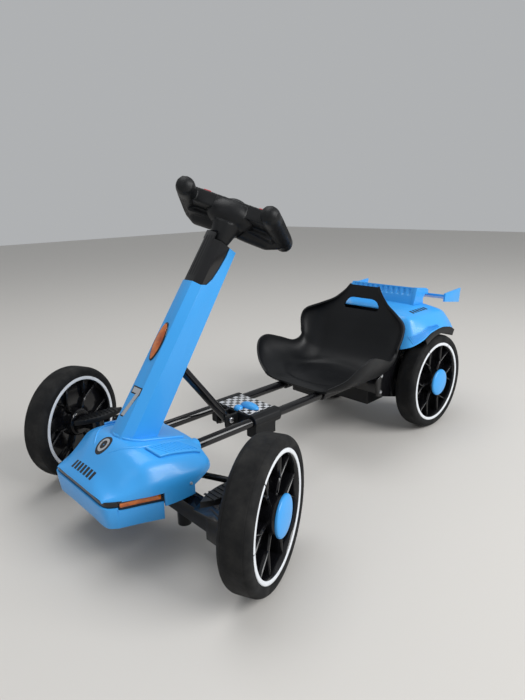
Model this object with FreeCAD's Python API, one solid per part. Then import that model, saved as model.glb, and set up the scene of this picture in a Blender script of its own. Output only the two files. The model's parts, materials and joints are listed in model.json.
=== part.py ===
import FreeCAD
import Part
import math
import os

# Kids electric go-kart. +X points forward, +Y to the rider's left, +Z up, the ground is Z = 0.
# Sizes are in millimetres. X places are measured from the middle of the wheelbase. Front pieces are drawn
# from the middle of the front axle, rear pieces from the middle of the rear axle, the rear cover from the
# height of the rear tyres' top, and the steering from the foot of the column's axis.

V = FreeCAD.Vector

# Wheels
WHEEL_R = 105.0
TYRE_DEPTH = 21.0
TYRE_W = 46.0
TYRE_SHOULDER = 13.0
TREAD_INSET = 9.0
TREAD_ROUND = 4.0
SIDEWALL_W = 42.0
RIM_LIP = 4.0
RIM_WALL = 4.0
RIM_W = 38.0
RING_W = 6.5
RING_T = 2.5
HUB_R = 27.0
HUB_INSET = 4.0
HUB_CAP_R = 29.0
HUB_CAP_DOME = 6.0
SPOKES = 6
SPOKE_W = 6.0
SPOKE_T = 12.0
SPLIT_SHARE = 0.44
AXLE_R = 6.0
AXLE_PLAY = 0.3
CLEAR = 9.0

# Stance
WHEELBASE = 640.0
REAR_TRACK = 262.0
KINGPIN_Y = 192.0
HUB_OFFSET = 54.0
PARK_YOKE_DEG = 36.0
PARK_WHEEL_DEG = 24.0

# Frame, with heights above the axles
TUBE_R = 8.5
TUBE_WALL = 1.5
TUBE_Y = 50.0
TUBE_RISE = 21.0
TUBE_FRONT = 16.0
TUBE_REAR = 200.0
SOCKET_R = 11.5
SOCKET_FRONT = 279.0
SOCKET_REAR = 122.0
BEAM_SIDE = 28.0
BEAM_WALL = 2.5
BEAM_DROP = 41.0
BEAM_STUB_Y = 82.0
BEAM_STUB_R = 11.0
BEAM_STUB_LEN = 28.5
BOSS_R = 16.0
BOSS_LEN = 34.0
BOSS_DROP = 65.0
KINGPIN_R = 6.0
KINGPIN_HEAD = 5.0
KINGPIN_RISE = 13.0
FRAME_PLATE_Y = 57.0
FRAME_PLATE_T = 6.0
WEB_Y = 8.0
WEB_T = 4.0

# Clamp on the tubes, behind the front axle
CLAMP_BACK = 204.0
CLAMP_HALF_LEN = 32.0
CLAMP_SIDE = 15.0
CLAMP_WALL = 4.0
CLAMP_TOP = 11.0
CLAMP_LOW = 24.0
PLATE_T = 2.0
PLATE_HALF_LEN = 29.0
PLATE_HALF_W = 43.0
BRACE_BACK = 156.0
BRACE_R = 8.0
BRACE_EYE_R = 9.0
BRACE_HALF_W = 9.5
BRACE_MEETS_S = 112.0
EAR_T = 4.0
BOLT_R = 3.0
BOLT_HEAD_R = 5.0
HANDLE_R = 8.0
HANDLE_H = 9.0
KNOB_R = 6.0

# Steering column: heights are along its axis, which leans back over the front axle
COLUMN_TILT_DEG = 34.2
COLUMN_AHEAD = 22.0
COLUMN_RISE = 67.0
COLUMN_LOW_S = -32.0
COLUMN_TOP_S = 316.0
COLUMN_LOW_W = 54.0
COLUMN_TOP_W = 47.0
COLUMN_CHAMFER = 12.0
COLUMN_WALL = 3.0
HEAD_TUBE_R = 12.0
HEAD_TUBE_LOW_S = -46.0
HEAD_TUBE_TOP_S = 317.0
SHAFT_R = 8.0
SHAFT_PLAY = 0.5
LAMP_S = 131.0
LAMP_HALF_LEN = 30.0
LAMP_HALF_W = 9.0
LAMP_DEPTH = 2.0
LINER_LOW_S = 200.0
INSERT_LOW_S = 236.0
INSERT_LIP_S = 331.0
INSERT_LIP_T = 3.0
INSERT_INSET = 1.5
CRANK_S = -54.0
CRANK_ARM = 43.6
CRANK_W = 12.0
CRANK_T = 8.0
CRANK_PIN_R = 4.0
CRANK_PIN_LEN = 24.0

# Knuckles and track rod
STEER_ARM = 63.0
ARM_INBOARD = 56.0
ARM_DROP = 25.0
ARM_T = 4.0
SLEEVE_R = 13.0
COLLAR_R = 11.0
ROD_R = 4.0
ROD_DROP = 15.0
ROD_STEP = 24.0
ROD_BEND_OUT = 150.0
ROD_BEND_IN = 92.0
ROD_EYE_R = 9.0
ROD_PIN_R = 4.0
SLOT_LOW = 80.0
SLOT_HIGH = 103.0
SLOT_HALF_W = 6.0
SLOT_EDGE = 6.0

# Yoke
GRIP_R = 16.0
GRIP_FRONT = (44.0, 74.0, 375.0)
GRIP_REAR = (-62.0, 88.0, 381.0)
SPOKE_LOW_S = 368.0
SPOKE_HIGH_S = 392.0
SPOKE_FRONT = 20.0
SPOKE_BACK = -14.0
LOWER_BAR_R = 12.5
HUB_DOME_R = 33.0
HUB_BACK = -12.0
HUB_MID_S = 372.0
VISOR_T = 8.0
NECK_LOW_S = 319.0
NECK_TOP_S = 352.0
NECK_LOW_R = 15.0
NECK_TOP_R = 24.0
BUTTON_Y = (44.0, 60.0)
BUTTON_N = (-4.0, 12.0)
BUTTON_RISE = 3.0

# Nose
NOSE_FRONT = 124.0
NOSE_WALL = 3.0
RAISED = 2.5
COLUMN_GAP = 1.5
STRIP_INSET = 2.0
STRIP_T = 4.5
BUMPER_WALL = 3.5
BUMPER_RAKE = 5.0

# Seat
SEAT_T = 4.0
SEAT_BASE_Y = 36.0

# Rear, with heights above the rear tyres' top
SIDE_PLATE_T = 5.0
REAR_SHELL_T = 3.0
TRAY_RISE = 22.0
TRAY_T = 5.0
LINER_GAP = 13.0
LINER_T = 3.0
DECK_RISE = 61.0
HUMP_FOOT = 9.0
HUMP_TOP = -4.0
HUMP_RISE = 98.0
HUMP_HALF_W = 88.0
HUMP_T = 5.0
LOUVRES = 11
LOUVRE_PITCH = 14.0
LOUVRE_R = 4.5
ARM_THICK = 9.0
WING_REAR = -124.0
WING_FRONT = -56.0
WING_RISE = 79.0
WING_HALF_SPAN = 130.0
END_PLATE_T = 4.0
MOTOR_Y = 52.0

# Places that follow from the sizes above
FRONT_AXLE_X = WHEELBASE / 2
REAR_AXLE_X = -WHEELBASE / 2
LENGTH_MID_X = (FRONT_AXLE_X + NOSE_FRONT + REAR_AXLE_X + WING_REAR) / 2
TILT = math.radians(COLUMN_TILT_DEG)
RIM_R = WHEEL_R - TYRE_DEPTH
RING_OUT_R = RIM_R + RIM_LIP
TUBE_Z = WHEEL_R + TUBE_RISE
TYRE_TOP = 2 * WHEEL_R
COLUMN_FOOT_X = FRONT_AXLE_X + COLUMN_AHEAD
COLUMN_FOOT_Z = WHEEL_R + COLUMN_RISE
ROD_Z = WHEEL_R - ROD_DROP
SIDE_PLATE_Y = REAR_TRACK / 2 - TYRE_W / 2 - CLEAR - SIDE_PLATE_T
CLAMP_X = FRONT_AXLE_X - CLAMP_BACK
BRACE_X = FRONT_AXLE_X - BRACE_BACK

parts = {}


def box(x0, x1, y0, y1, z0, z1):
    return Part.makeBox(x1 - x0, y1 - y0, z1 - z0, V(x0, y0, z0))


def rod(radius, start, end):
    start, end = V(*start), V(*end)
    return Part.makeCylinder(radius, (end - start).Length, start, end - start)


def tube(outer, inner, start, end):
    return rod(outer, start, end).cut(rod(inner, start, end))


def capsule(radius, start, end):
    ends = [Part.makeSphere(radius, V(*start)), Part.makeSphere(radius, V(*end))]
    return fuse([rod(radius, start, end)] + ends)


def prism(points, along):
    corners = [V(*p) for p in points]
    face = Part.Face(Part.makePolygon(corners + corners[:1]))
    return face.extrude(V(*along))


def side_prism(side_view, y, thickness):
    """A plate from its outline in the X-Z plane."""
    return prism([(x, y, z) for x, z in side_view], (0, thickness, 0))


def plan_prism(plan, low, high):
    """An upright block from its outline in the X-Y plane."""
    return prism([(x, y, low) for x, y in plan], (0, 0, high - low))


def both_sides(points):
    """Half an outline, given on the +Y side, closed with its mirror image."""
    return points + [(p[0], -p[1]) + tuple(p[2:]) for p in reversed(points)]


def fuse(shapes):
    first, rest = shapes[0], shapes[1:]
    return first.fuse(rest).removeSplitter() if rest else first


def flip_y(shape):
    return shape.mirror(V(0, 0, 0), V(0, 1, 0))


def loft(sections):
    wires = [Part.makePolygon([V(*p) for p in s] + [V(*s[0])]) for s in sections]
    return Part.makeLoft(wires, True, True)


def moved(shape, x, y, z):
    copy = shape.copy()
    copy.translate(V(x, y, z))
    return copy


def spin_about(shape, base, axis, degrees):
    turned = shape.copy()
    turned.rotate(V(*base), V(*axis), degrees)
    return turned


def at_front(shape):
    return moved(shape, FRONT_AXLE_X, 0, WHEEL_R)


def at_rear(shape):
    return moved(shape, REAR_AXLE_X, 0, WHEEL_R)


def over_tyres(shape):
    return moved(shape, REAR_AXLE_X, 0, TYRE_TOP)


def add(name, shape):
    parts[name] = moved(shape, -LENGTH_MID_X, 0, 0)


def to_column(shape):
    """Places a shape drawn about the column axis: its x is the column's front, its z runs up the axis."""
    placed = spin_about(shape, (0, 0, 0), (0, 1, 0), -COLUMN_TILT_DEG)
    return moved(placed, COLUMN_FOOT_X, 0, COLUMN_FOOT_Z)


def column_point(front, side, up):
    """World place of a point given in the column's own directions."""
    x = COLUMN_FOOT_X + front * math.cos(TILT) - up * math.sin(TILT)
    z = COLUMN_FOOT_Z + front * math.sin(TILT) + up * math.cos(TILT)
    return (x, side, z)


def chamfered_square(width, corner, height):
    half = width / 2
    short = half - corner
    return [(half, -short, height), (half, short, height), (short, half, height), (-half, half, height),
            (-half, -half, height), (short, -half, height)]


# Wheels

def tyre():
    half, side = TYRE_W / 2, SIDEWALL_W / 2
    seat = RIM_W / 2
    low = [(RING_OUT_R, -side), (WHEEL_R - TYRE_SHOULDER, -half), (WHEEL_R - TREAD_ROUND, TREAD_ROUND - half),
           (WHEEL_R, TREAD_INSET - half)]
    outline = low + [(r, -y) for r, y in reversed(low)]
    outline += [(RING_OUT_R, seat), (RIM_R, seat), (RIM_R, -seat), (RING_OUT_R, -seat)]
    face = Part.Face(Part.makePolygon([V(r, y, 0) for r, y in outline + outline[:1]]))
    return face.revolve(V(0, 0, 0), V(0, 1, 0), 360)


def spoke():
    """One Y of the rim, drawn pointing along +X: a leg from the hub and two branches to the barrel."""
    half = SPOKE_T / 2
    split = HUB_R + SPLIT_SHARE * (RIM_R - HUB_R)
    pieces = [box(HUB_R - SPOKE_W / 2, split, -half, half, -SPOKE_W / 2, SPOKE_W / 2)]
    spread = math.radians(360 / SPOKES / 4)
    reach = RIM_R - RIM_WALL / 2
    for side in (-1, 1):
        ahead, up = reach * math.cos(spread) - split, side * reach * math.sin(spread)
        bar = box(-SPOKE_W / 3, math.hypot(ahead, up), -half, half, -SPOKE_W / 2, SPOKE_W / 2)
        bar = spin_about(bar, (0, 0, 0), (0, 1, 0), -math.degrees(math.atan2(up, ahead)))
        pieces.append(moved(bar, split, 0, 0))
    return fuse(pieces)


def rim():
    seat = RIM_W / 2
    pieces = [tube(RIM_R, RIM_R - RIM_WALL, (0, -seat, 0), (0, seat, 0)),
              rod(HUB_R, (0, HUB_INSET - seat, 0), (0, seat - HUB_INSET, 0))]
    for index in range(SPOKES):
        pieces.append(spin_about(spoke(), (0, 0, 0), (0, 1, 0), index * 360 / SPOKES))
    bore = rod(AXLE_R + AXLE_PLAY, (0, -TYRE_W, 0), (0, TYRE_W, 0))
    return fuse(pieces).cut(bore)


def rings():
    """The two white rings, one on each face of the rim."""
    seat = RIM_W / 2
    outer = tube(RING_OUT_R, RING_OUT_R - RING_W, (0, seat, 0), (0, seat + RING_T, 0))
    inner = tube(RING_OUT_R, RING_OUT_R - RING_W, (0, -seat - RING_T, 0), (0, -seat, 0))
    return Part.makeCompound([outer, inner])


def hub_cap():
    seat = RIM_W / 2 - HUB_INSET
    radius = (HUB_CAP_R ** 2 + HUB_CAP_DOME ** 2) / (2 * HUB_CAP_DOME)
    ball = Part.makeSphere(radius, V(0, seat + HUB_CAP_DOME - radius, 0))
    disc = rod(HUB_CAP_R, (0, seat, 0), (0, seat + 2 * HUB_CAP_DOME, 0))
    return disc.common(ball)


def place_wheel(shape, side, steered):
    """Wheels are drawn at the origin with +Y outward. Left is +1, right is -1."""
    placed = shape.copy() if side > 0 else flip_y(shape)
    if not steered:
        return at_rear(moved(placed, 0, side * REAR_TRACK / 2, 0))
    return place_steered(moved(placed, 0, side * HUB_OFFSET, WHEEL_R), side)


def place_steered(shape, side):
    """Turns a piece drawn about its kingpin to the parked steering angle and sets it on its kingpin."""
    placed = spin_about(shape, (0, 0, 0), (0, 0, 1), PARK_WHEEL_DEG)
    return moved(placed, FRONT_AXLE_X, side * KINGPIN_Y, 0)


def build_wheels():
    pieces = {"tyre": tyre(), "rim": rim(), "ring": rings(), "hub_cap": hub_cap()}
    for place, side, steered in (("front_left", 1, True), ("front_right", -1, True),
                                 ("rear_left", 1, False), ("rear_right", -1, False)):
        for kind, shape in pieces.items():
            add(kind + "_" + place, place_wheel(shape, side, steered))


# Front axle and steering linkage

def axle_beam():
    """Square tube with a boss for the kingpin at each end and two stubs under it."""
    half = BEAM_SIDE / 2
    wall = half - BEAM_WALL
    low, high = -BEAM_DROP - half, -BEAM_DROP + half
    inner_y = KINGPIN_Y - BOSS_LEN
    outer = box(-half, half, -KINGPIN_Y, KINGPIN_Y, low, high)
    pieces = [outer.cut(box(-wall, wall, -inner_y, inner_y, low + BEAM_WALL, high - BEAM_WALL))]
    for side in (-1, 1):
        y = side * KINGPIN_Y
        root = sorted((side * inner_y, y))
        pieces.append(rod(BOSS_R, (0, y, -BOSS_DROP), (0, y, high)))
        pieces.append(box(-BOSS_R, BOSS_R, root[0], root[1], -BOSS_DROP, high))
        stub_top = low + BEAM_WALL
        pieces.append(rod(BEAM_STUB_R, (0, side * BEAM_STUB_Y, stub_top - BEAM_STUB_LEN),
                          (0, side * BEAM_STUB_Y, stub_top)))
    beam = fuse(pieces)
    for side in (-1, 1):
        beam = beam.cut(rod(KINGPIN_R, (0, side * KINGPIN_Y, -WHEEL_R), (0, side * KINGPIN_Y, WHEEL_R)))
    return at_front(beam)


def kingpins():
    pins = []
    for y in (-KINGPIN_Y, KINGPIN_Y):
        foot = (0, y, -BOSS_DROP - KINGPIN_HEAD)
        pin = rod(KINGPIN_R, foot, (0, y, KINGPIN_RISE))
        pins.append(fuse([pin, rod(KINGPIN_R + KINGPIN_HEAD, foot, (0, y, -BOSS_DROP))]))
    return at_front(Part.makeCompound(pins))


def knuckle():
    """The left knuckle, drawn about its kingpin with the wheel straight ahead."""
    low = WHEEL_R - ARM_DROP
    high = WHEEL_R + KINGPIN_RISE - 3
    sleeve = rod(SLEEVE_R, (0, 0, low), (0, 0, high))
    stub = rod(AXLE_R, (0, 0, WHEEL_R), (0, HUB_OFFSET + RIM_W / 2 - HUB_INSET, WHEEL_R))
    collar = rod(COLLAR_R, (0, 0, WHEEL_R), (0, HUB_OFFSET - TYRE_W / 2 - 3, WHEEL_R))
    tip = STEER_ARM + ROD_EYE_R
    arm = [(14, -14), (0, -ARM_INBOARD), (-STEER_ARM * 0.62, -ARM_INBOARD), (-tip, -9), (-tip, 9), (0, 14),
           (14, 14)]
    plate = plan_prism(arm, low, low + ARM_T)
    pin = rod(ROD_PIN_R, (-STEER_ARM, 0, low), (-STEER_ARM, 0, ROD_Z + 2 * ROD_R))
    whole = fuse([sleeve, stub, collar, plate, pin])
    return whole.cut(rod(KINGPIN_R + AXLE_PLAY, (0, 0, 0), (0, 0, TYRE_TOP)))


def rod_middle():
    """Place of the track rod's middle with the steering parked."""
    turn = math.radians(PARK_WHEEL_DEG)
    return V(FRONT_AXLE_X - STEER_ARM * math.cos(turn), -STEER_ARM * math.sin(turn), 0)


def track_rod():
    """A bent bar between the two arms, with a slotted plate that the crank pin pushes sideways."""
    path = [(0, -KINGPIN_Y), (0, -ROD_BEND_OUT), (ROD_STEP, -ROD_BEND_IN), (ROD_STEP, ROD_BEND_IN),
            (0, ROD_BEND_OUT), (0, KINGPIN_Y)]
    outline = [(x - ROD_R, y) for x, y in path] + [(x + ROD_R, y) for x, y in reversed(path)]
    pieces = [plan_prism(outline, ROD_Z - ROD_R, ROD_Z + ROD_R)]
    for y in (-KINGPIN_Y, KINGPIN_Y):
        pieces.append(rod(ROD_EYE_R, (0, y, ROD_Z - ROD_R), (0, y, ROD_Z + ROD_R)))
    half = SLOT_HALF_W + SLOT_EDGE
    pieces.append(box(ROD_STEP, SLOT_HIGH + SLOT_EDGE, -half, half, ROD_Z - ROD_R / 2, ROD_Z + ROD_R / 2))
    whole = fuse(pieces).cut(box(SLOT_LOW, SLOT_HIGH, -SLOT_HALF_W, SLOT_HALF_W, 0, TYRE_TOP))
    for y in (-KINGPIN_Y, KINGPIN_Y):
        whole = whole.cut(rod(ROD_PIN_R + AXLE_PLAY, (0, y, 0), (0, y, TYRE_TOP)))
    whole.translate(rod_middle())
    return whole


def foot_rest(side):
    """A leaf-shaped pad on top of the kingpin."""
    half_len, half_w, height = 48.0, 15.0, 9.0
    centre = V(-4, side * (KINGPIN_Y - 4), KINGPIN_RISE - 1)
    radius = (half_len ** 2 + half_w ** 2) / (2 * half_w)
    left = Part.makeCylinder(radius, height, centre + V(0, radius - half_w, 0))
    right = Part.makeCylinder(radius, height, centre - V(0, radius - half_w, 0))
    hole = rod(KINGPIN_R, (0, side * KINGPIN_Y, 0), (0, side * KINGPIN_Y, KINGPIN_RISE))
    return at_front(left.common(right).cut(hole))


def build_front_axle():
    add("axle_beam", axle_beam())
    add("kingpins", kingpins())
    left = knuckle()
    add("knuckle_left", place_steered(left, 1))
    add("knuckle_right", place_steered(flip_y(left), -1))
    add("track_rod", track_rod())
    add("foot_rest_left", foot_rest(1))
    add("foot_rest_right", foot_rest(-1))


# Frame

def front_frame():
    """Head tube, cross bar between the frame tubes, and the plates down to the axle beam."""
    half = BEAM_SIDE / 2
    bar_low, bar_high = TUBE_RISE - 12, TUBE_RISE + 5
    side_y = FRAME_PLATE_Y + FRAME_PLATE_T / 2
    pieces = [box(-half, half, -side_y, side_y, bar_low, bar_high)]
    web = [(-half, bar_high - 3), (18, bar_high - 3), (27, 36), (32, 42), (42, 30), (half, bar_low + 4),
           (-half, bar_low + 4)]
    for side in (-1, 1):
        y = side_y - FRAME_PLATE_T if side > 0 else -side_y
        pieces.append(box(-half, half, y, y + FRAME_PLATE_T, half - BEAM_DROP, bar_high))
        pieces.append(side_prism(web, WEB_Y if side > 0 else -WEB_Y - WEB_T, WEB_T))
    head = to_column(rod(HEAD_TUBE_R, (0, 0, HEAD_TUBE_LOW_S), (0, 0, HEAD_TUBE_TOP_S)))
    whole = fuse([head] + [at_front(piece) for piece in pieces])
    for y in (-TUBE_Y, TUBE_Y):
        whole = whole.cut(rod(TUBE_R, (0, y, TUBE_Z), (FRONT_AXLE_X + TUBE_FRONT, y, TUBE_Z)))
    bore = rod(SHAFT_R + SHAFT_PLAY, (0, 0, 2 * HEAD_TUBE_LOW_S), (0, 0, HEAD_TUBE_TOP_S + 5))
    return whole.cut(to_column(bore))


def clamp_bracket():
    """Saddle that wraps both tubes and carries the chequered plate, with ears for the brace."""
    x0, x1 = CLAMP_X - CLAMP_HALF_LEN, CLAMP_X + CLAMP_HALF_LEN
    out = TUBE_Y + CLAMP_SIDE
    inner = TUBE_Y - CLAMP_SIDE + 1
    saddle = box(x0, x1, -out, out, TUBE_Z - CLAMP_LOW, TUBE_Z + CLAMP_TOP)
    tunnel = box(x0 + CLAMP_WALL, x1 - CLAMP_WALL, -inner, inner, TUBE_Z - 2 * CLAMP_LOW,
                 TUBE_Z + CLAMP_TOP - CLAMP_WALL)
    ear_end = BRACE_X + BRACE_EYE_R + BOLT_R
    ears = []
    for y in (-BRACE_HALF_W - EAR_T - 0.5, BRACE_HALF_W + 0.5):
        ears.append(box(x1 - CLAMP_WALL / 2, ear_end, y, y + EAR_T, TUBE_Z - 12, TUBE_Z + 10))
    whole = fuse([saddle.cut(tunnel)] + ears)
    for y in (-TUBE_Y, TUBE_Y):
        whole = whole.cut(rod(TUBE_R, (0, y, TUBE_Z), (FRONT_AXLE_X, y, TUBE_Z)))
    return whole.cut(rod(BOLT_R, (BRACE_X, -out, TUBE_Z), (BRACE_X, out, TUBE_Z)))


def column_brace():
    """Round strut from the clamp's ears up to the rear face of the column."""
    low = (BRACE_X, 0, TUBE_Z)
    high = column_point(-COLUMN_LOW_W / 2 + COLUMN_WALL, 0, BRACE_MEETS_S)
    eye = rod(BRACE_EYE_R, (BRACE_X, -BRACE_HALF_W, TUBE_Z), (BRACE_X, BRACE_HALF_W, TUBE_Z))
    brace = fuse([rod(BRACE_R, low, high), eye])
    brace = brace.cut(rod(BOLT_R, (BRACE_X, -CLAMP_SIDE, TUBE_Z), (BRACE_X, CLAMP_SIDE, TUBE_Z)))
    return brace.cut(to_column(column_solid(0, 0, COLUMN_LOW_S, COLUMN_TOP_S)))


def build_frame():
    for name, y in (("frame_tube_left", TUBE_Y), ("frame_tube_right", -TUBE_Y)):
        rear, front = (REAR_AXLE_X + TUBE_REAR, y, TUBE_Z), (FRONT_AXLE_X + TUBE_FRONT, y, TUBE_Z)
        add(name, tube(TUBE_R, TUBE_R - TUBE_WALL, rear, front))
    add("front_frame", front_frame())
    add("clamp_bracket", clamp_bracket())
    top = TUBE_Z + CLAMP_TOP
    add("clamp_plate", box(CLAMP_X - PLATE_HALF_LEN, CLAMP_X + PLATE_HALF_LEN, -PLATE_HALF_W, PLATE_HALF_W,
                           top, top + PLATE_T))
    top += PLATE_T
    handle = [rod(HANDLE_R, (CLAMP_X + 4, y, top), (CLAMP_X + 4, y, top + HANDLE_H)) for y in (-2, 36)]
    handle.append(box(CLAMP_X + 4 - HANDLE_R, CLAMP_X + 4 + HANDLE_R, -2, 36, top, top + HANDLE_H))
    add("latch_handle", fuse(handle))
    add("latch_knob", rod(KNOB_R, (CLAMP_X + 22, 7, top), (CLAMP_X + 22, 7, top + KNOB_R)))
    add("column_brace", column_brace())
    side = BRACE_HALF_W + EAR_T + 0.5
    bolt = [rod(BOLT_R, (BRACE_X, -side, TUBE_Z), (BRACE_X, side, TUBE_Z))]
    for y in (-side - EAR_T, side):
        bolt.append(rod(BOLT_HEAD_R, (BRACE_X, y, TUBE_Z), (BRACE_X, y + EAR_T, TUBE_Z)))
    add("brace_bolt", fuse(bolt))


# Steering column

def column_width(up):
    share = (up - COLUMN_LOW_S) / (COLUMN_TOP_S - COLUMN_LOW_S)
    return COLUMN_LOW_W + (COLUMN_TOP_W - COLUMN_LOW_W) * share


def column_solid(inset, gap, low, high):
    """The column's tapered, chamfered body, drawn inward by an inset and stretched up by a gap."""
    sections = []
    for up in (low, high + gap):
        sections.append(chamfered_square(column_width(up) - 2 * inset, COLUMN_CHAMFER - inset * 0.6, up))
    return loft(sections)


def scoop(gap):
    """The front of the column's top, cut away in a hollow curve that leaves the shell's rear standing."""
    edge = [(40, 240 + gap), (14, 238 + gap), (4, 243 + gap), (-2, 256 + gap), (-6, 276 + gap),
            (-9 + gap, 300), (-9 + gap, 420), (40, 420)]
    return prism([(n, -COLUMN_LOW_W, s) for n, s in edge], (0, 2 * COLUMN_LOW_W, 0))


def column_shell():
    outer = column_solid(0, 0, COLUMN_LOW_S, COLUMN_TOP_S)
    inner = column_solid(COLUMN_WALL, 1, COLUMN_LOW_S - 1, COLUMN_TOP_S)
    return outer.cut(inner).cut(scoop(0))


def column_insert():
    """Liner in the top of the column, whose front face stands up in a low lip before the yoke's neck."""
    liner = column_solid(COLUMN_WALL + 0.3, 0, LINER_LOW_S, HEAD_TUBE_TOP_S)
    face = column_solid(INSERT_INSET, 0, INSERT_LOW_S, HEAD_TUBE_TOP_S).common(scoop(0.5))
    front = column_width(HEAD_TUBE_TOP_S) / 2 - INSERT_INSET
    half = front - COLUMN_CHAMFER + INSERT_LIP_T
    lip = box(front - INSERT_LIP_T, front, -half, half, HEAD_TUBE_TOP_S - 1, INSERT_LIP_S)
    bore = rod(HEAD_TUBE_R, (0, 0, LINER_LOW_S - 1), (0, 0, 2 * HEAD_TUBE_TOP_S))
    return fuse([liner, face, lip]).cut(bore)


def column_lamp():
    front = column_width(LAMP_S) / 2
    lens = Part.makeCylinder(1, 2 * LAMP_DEPTH, V(front - LAMP_DEPTH, 0, 0), V(1, 0, 0))
    matrix = FreeCAD.Matrix()
    matrix.scale(V(1, LAMP_HALF_W, LAMP_HALF_LEN))
    return moved(lens.transformGeometry(matrix), 0, 0, LAMP_S)


def steering_shaft():
    low, high = CRANK_S - CRANK_T / 2, CRANK_S + CRANK_T / 2
    shaft = rod(SHAFT_R, (0, 0, low), (0, 0, HUB_MID_S))
    arm = box(-CRANK_ARM, 0, -CRANK_W / 2, CRANK_W / 2, low, high)
    end = rod(CRANK_W / 2, (-CRANK_ARM, 0, low), (-CRANK_ARM, 0, high))
    pin = rod(CRANK_PIN_R, (-CRANK_ARM, 0, low - CRANK_PIN_LEN), (-CRANK_ARM, 0, high))
    return fuse([shaft, arm, end, pin])


# Middle line of the yoke's lower bar on the left: front, side and height along the axis
LOWER_BAR = [(-46.0, 84.0, 373.0), (-36.0, 65.0, 361.0), (-25.0, 35.0, 358.0), (-12.0, 0.0, 356.0)]


def lower_bar(side):
    pieces = []
    points = [(n, side * y, s) for n, y, s in LOWER_BAR]
    for start, end in zip(points, points[1:]):
        pieces.append(rod(LOWER_BAR_R, start, end))
        pieces.append(Part.makeSphere(LOWER_BAR_R, V(*end)))
    return pieces


def yoke():
    """Two splayed grips on an upper spoke, with a round lower bar that leaves a pocket under the spoke."""
    pieces = []
    plan = [(SPOKE_FRONT, 0), (SPOKE_FRONT, 62), (SPOKE_FRONT - 4, 80), (SPOKE_BACK, 82), (SPOKE_BACK, 0)]
    whole_plan = plan + [(n, -y) for n, y in reversed(plan[1:-1])]
    pieces.append(plan_prism(whole_plan, SPOKE_LOW_S, SPOKE_HIGH_S))
    for side in (-1, 1):
        ends = [(n, side * y, s) for n, y, s in (GRIP_FRONT, GRIP_REAR)]
        pieces.append(capsule(GRIP_R, *ends))
        pieces += lower_bar(side)
    return fuse(pieces).cut(hub_room())


def hub_room():
    """The place of the hub in the yoke."""
    return fuse([Part.makeSphere(HUB_DOME_R, V(HUB_BACK, 0, HUB_MID_S)), neck()])


def neck():
    return Part.makeCone(NECK_LOW_R, NECK_TOP_R, NECK_TOP_S - NECK_LOW_S, V(0, 0, NECK_LOW_S))


def yoke_hub():
    """Domed middle of the yoke on a flared neck, with a pointed visor in front."""
    front = HUB_BACK + HUB_DOME_R - VISOR_T
    visor = [(30, 388), (29, 364), (0, 371), (-29, 364), (-30, 388)]
    panel = prism([(front, y, s) for y, s in visor], (VISOR_T, 0, 0))
    spokes = plan_prism([(SPOKE_FRONT, -62), (SPOKE_FRONT, 62), (SPOKE_BACK, 62), (SPOKE_BACK, -62)],
                        SPOKE_LOW_S, SPOKE_HIGH_S)
    panel = panel.cut(spokes.cut(hub_room()))
    whole = fuse([hub_room(), panel])
    return whole.cut(rod(SHAFT_R, (0, 0, 0), (0, 0, HUB_MID_S)))


def yoke_buttons():
    buttons = []
    for side in (-1, 1):
        span = sorted(side * y for y in BUTTON_Y)
        buttons.append(box(*BUTTON_N, *span, SPOKE_HIGH_S - BUTTON_RISE, SPOKE_HIGH_S + BUTTON_RISE))
    return Part.makeCompound(buttons)


def build_column():
    add("column_shell", to_column(column_shell().cut(column_lamp())))
    add("column_insert", to_column(column_insert()))
    add("column_lamp", to_column(column_lamp()))
    steering = {
        "steering_shaft": steering_shaft(),
        "yoke": yoke().cut(yoke_buttons()),
        "yoke_hub": yoke_hub(),
        "yoke_buttons": yoke_buttons(),
    }
    for name, shape in steering.items():
        add(name, to_column(spin_about(shape, (0, 0, 0), (0, 0, 1), PARK_YOKE_DEG)))


# Nose, drawn from the middle of the front axle

# Each section: place ahead of the axle, height and half width of the crown, height of the crease beside it,
# half width and height of the shoulder, half width and height of the widest edge.
NOSE_SECTIONS = [
    (124.0, 9.0, 40.0, 8.5, 62.0, 7.0, 73.0, 5.0),
    (104.0, 26.0, 28.0, 25.0, 68.0, 15.0, 85.0, 6.5),
    (80.0, 48.0, 42.0, 46.0, 76.0, 31.0, 94.0, 11.0),
    (60.0, 57.0, 54.0, 53.0, 84.0, 39.0, 100.0, 13.0),
    (25.0, 52.0, 56.0, 49.0, 88.0, 37.0, 104.0, 12.0),
    (-15.0, 43.0, 50.0, 41.0, 82.0, 29.0, 101.0, 10.0),
    (-45.0, 33.0, 42.0, 32.0, 64.0, 22.0, 84.0, 9.0),
]
NOSE_SKIRT = -20.0
# Side view of what is cut away below the shell's rear, as room for the wheels
NOSE_LOW_REAR = [(-60, -45), (-4, -45), (-4, -5), (-22, 1), (-60, 5)]
# Plans of the raised pad beside the column and of the rim round the column's foot
PAD_PLAN = [(46, 60), (36, 84), (-36, 84), (-14, 57)]
RIM_PLAN = [(-34, 40), (10, 43), (45, 39), (60, 24), (66, 0)]
RIM_T = 4.0
BUMPER_PLAN = [(123.5, 74.0), (114.0, 84.0), (47.0, 101.0)]
# Heights of the bands under the nose, each as its rear and its front one, and the place where the lamps end
BUMPER_LOW = (-40.0, -24.0)
BUMPER_TOP = (-7.5, -2.0)
STRIP_TOP = (1.0, 5.0)
LAMP_END = 54.0
LAMP_PLAN = [(LAMP_END + 3, 105), (112, 92), (109, 72), (LAMP_END, 85)]


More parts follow.
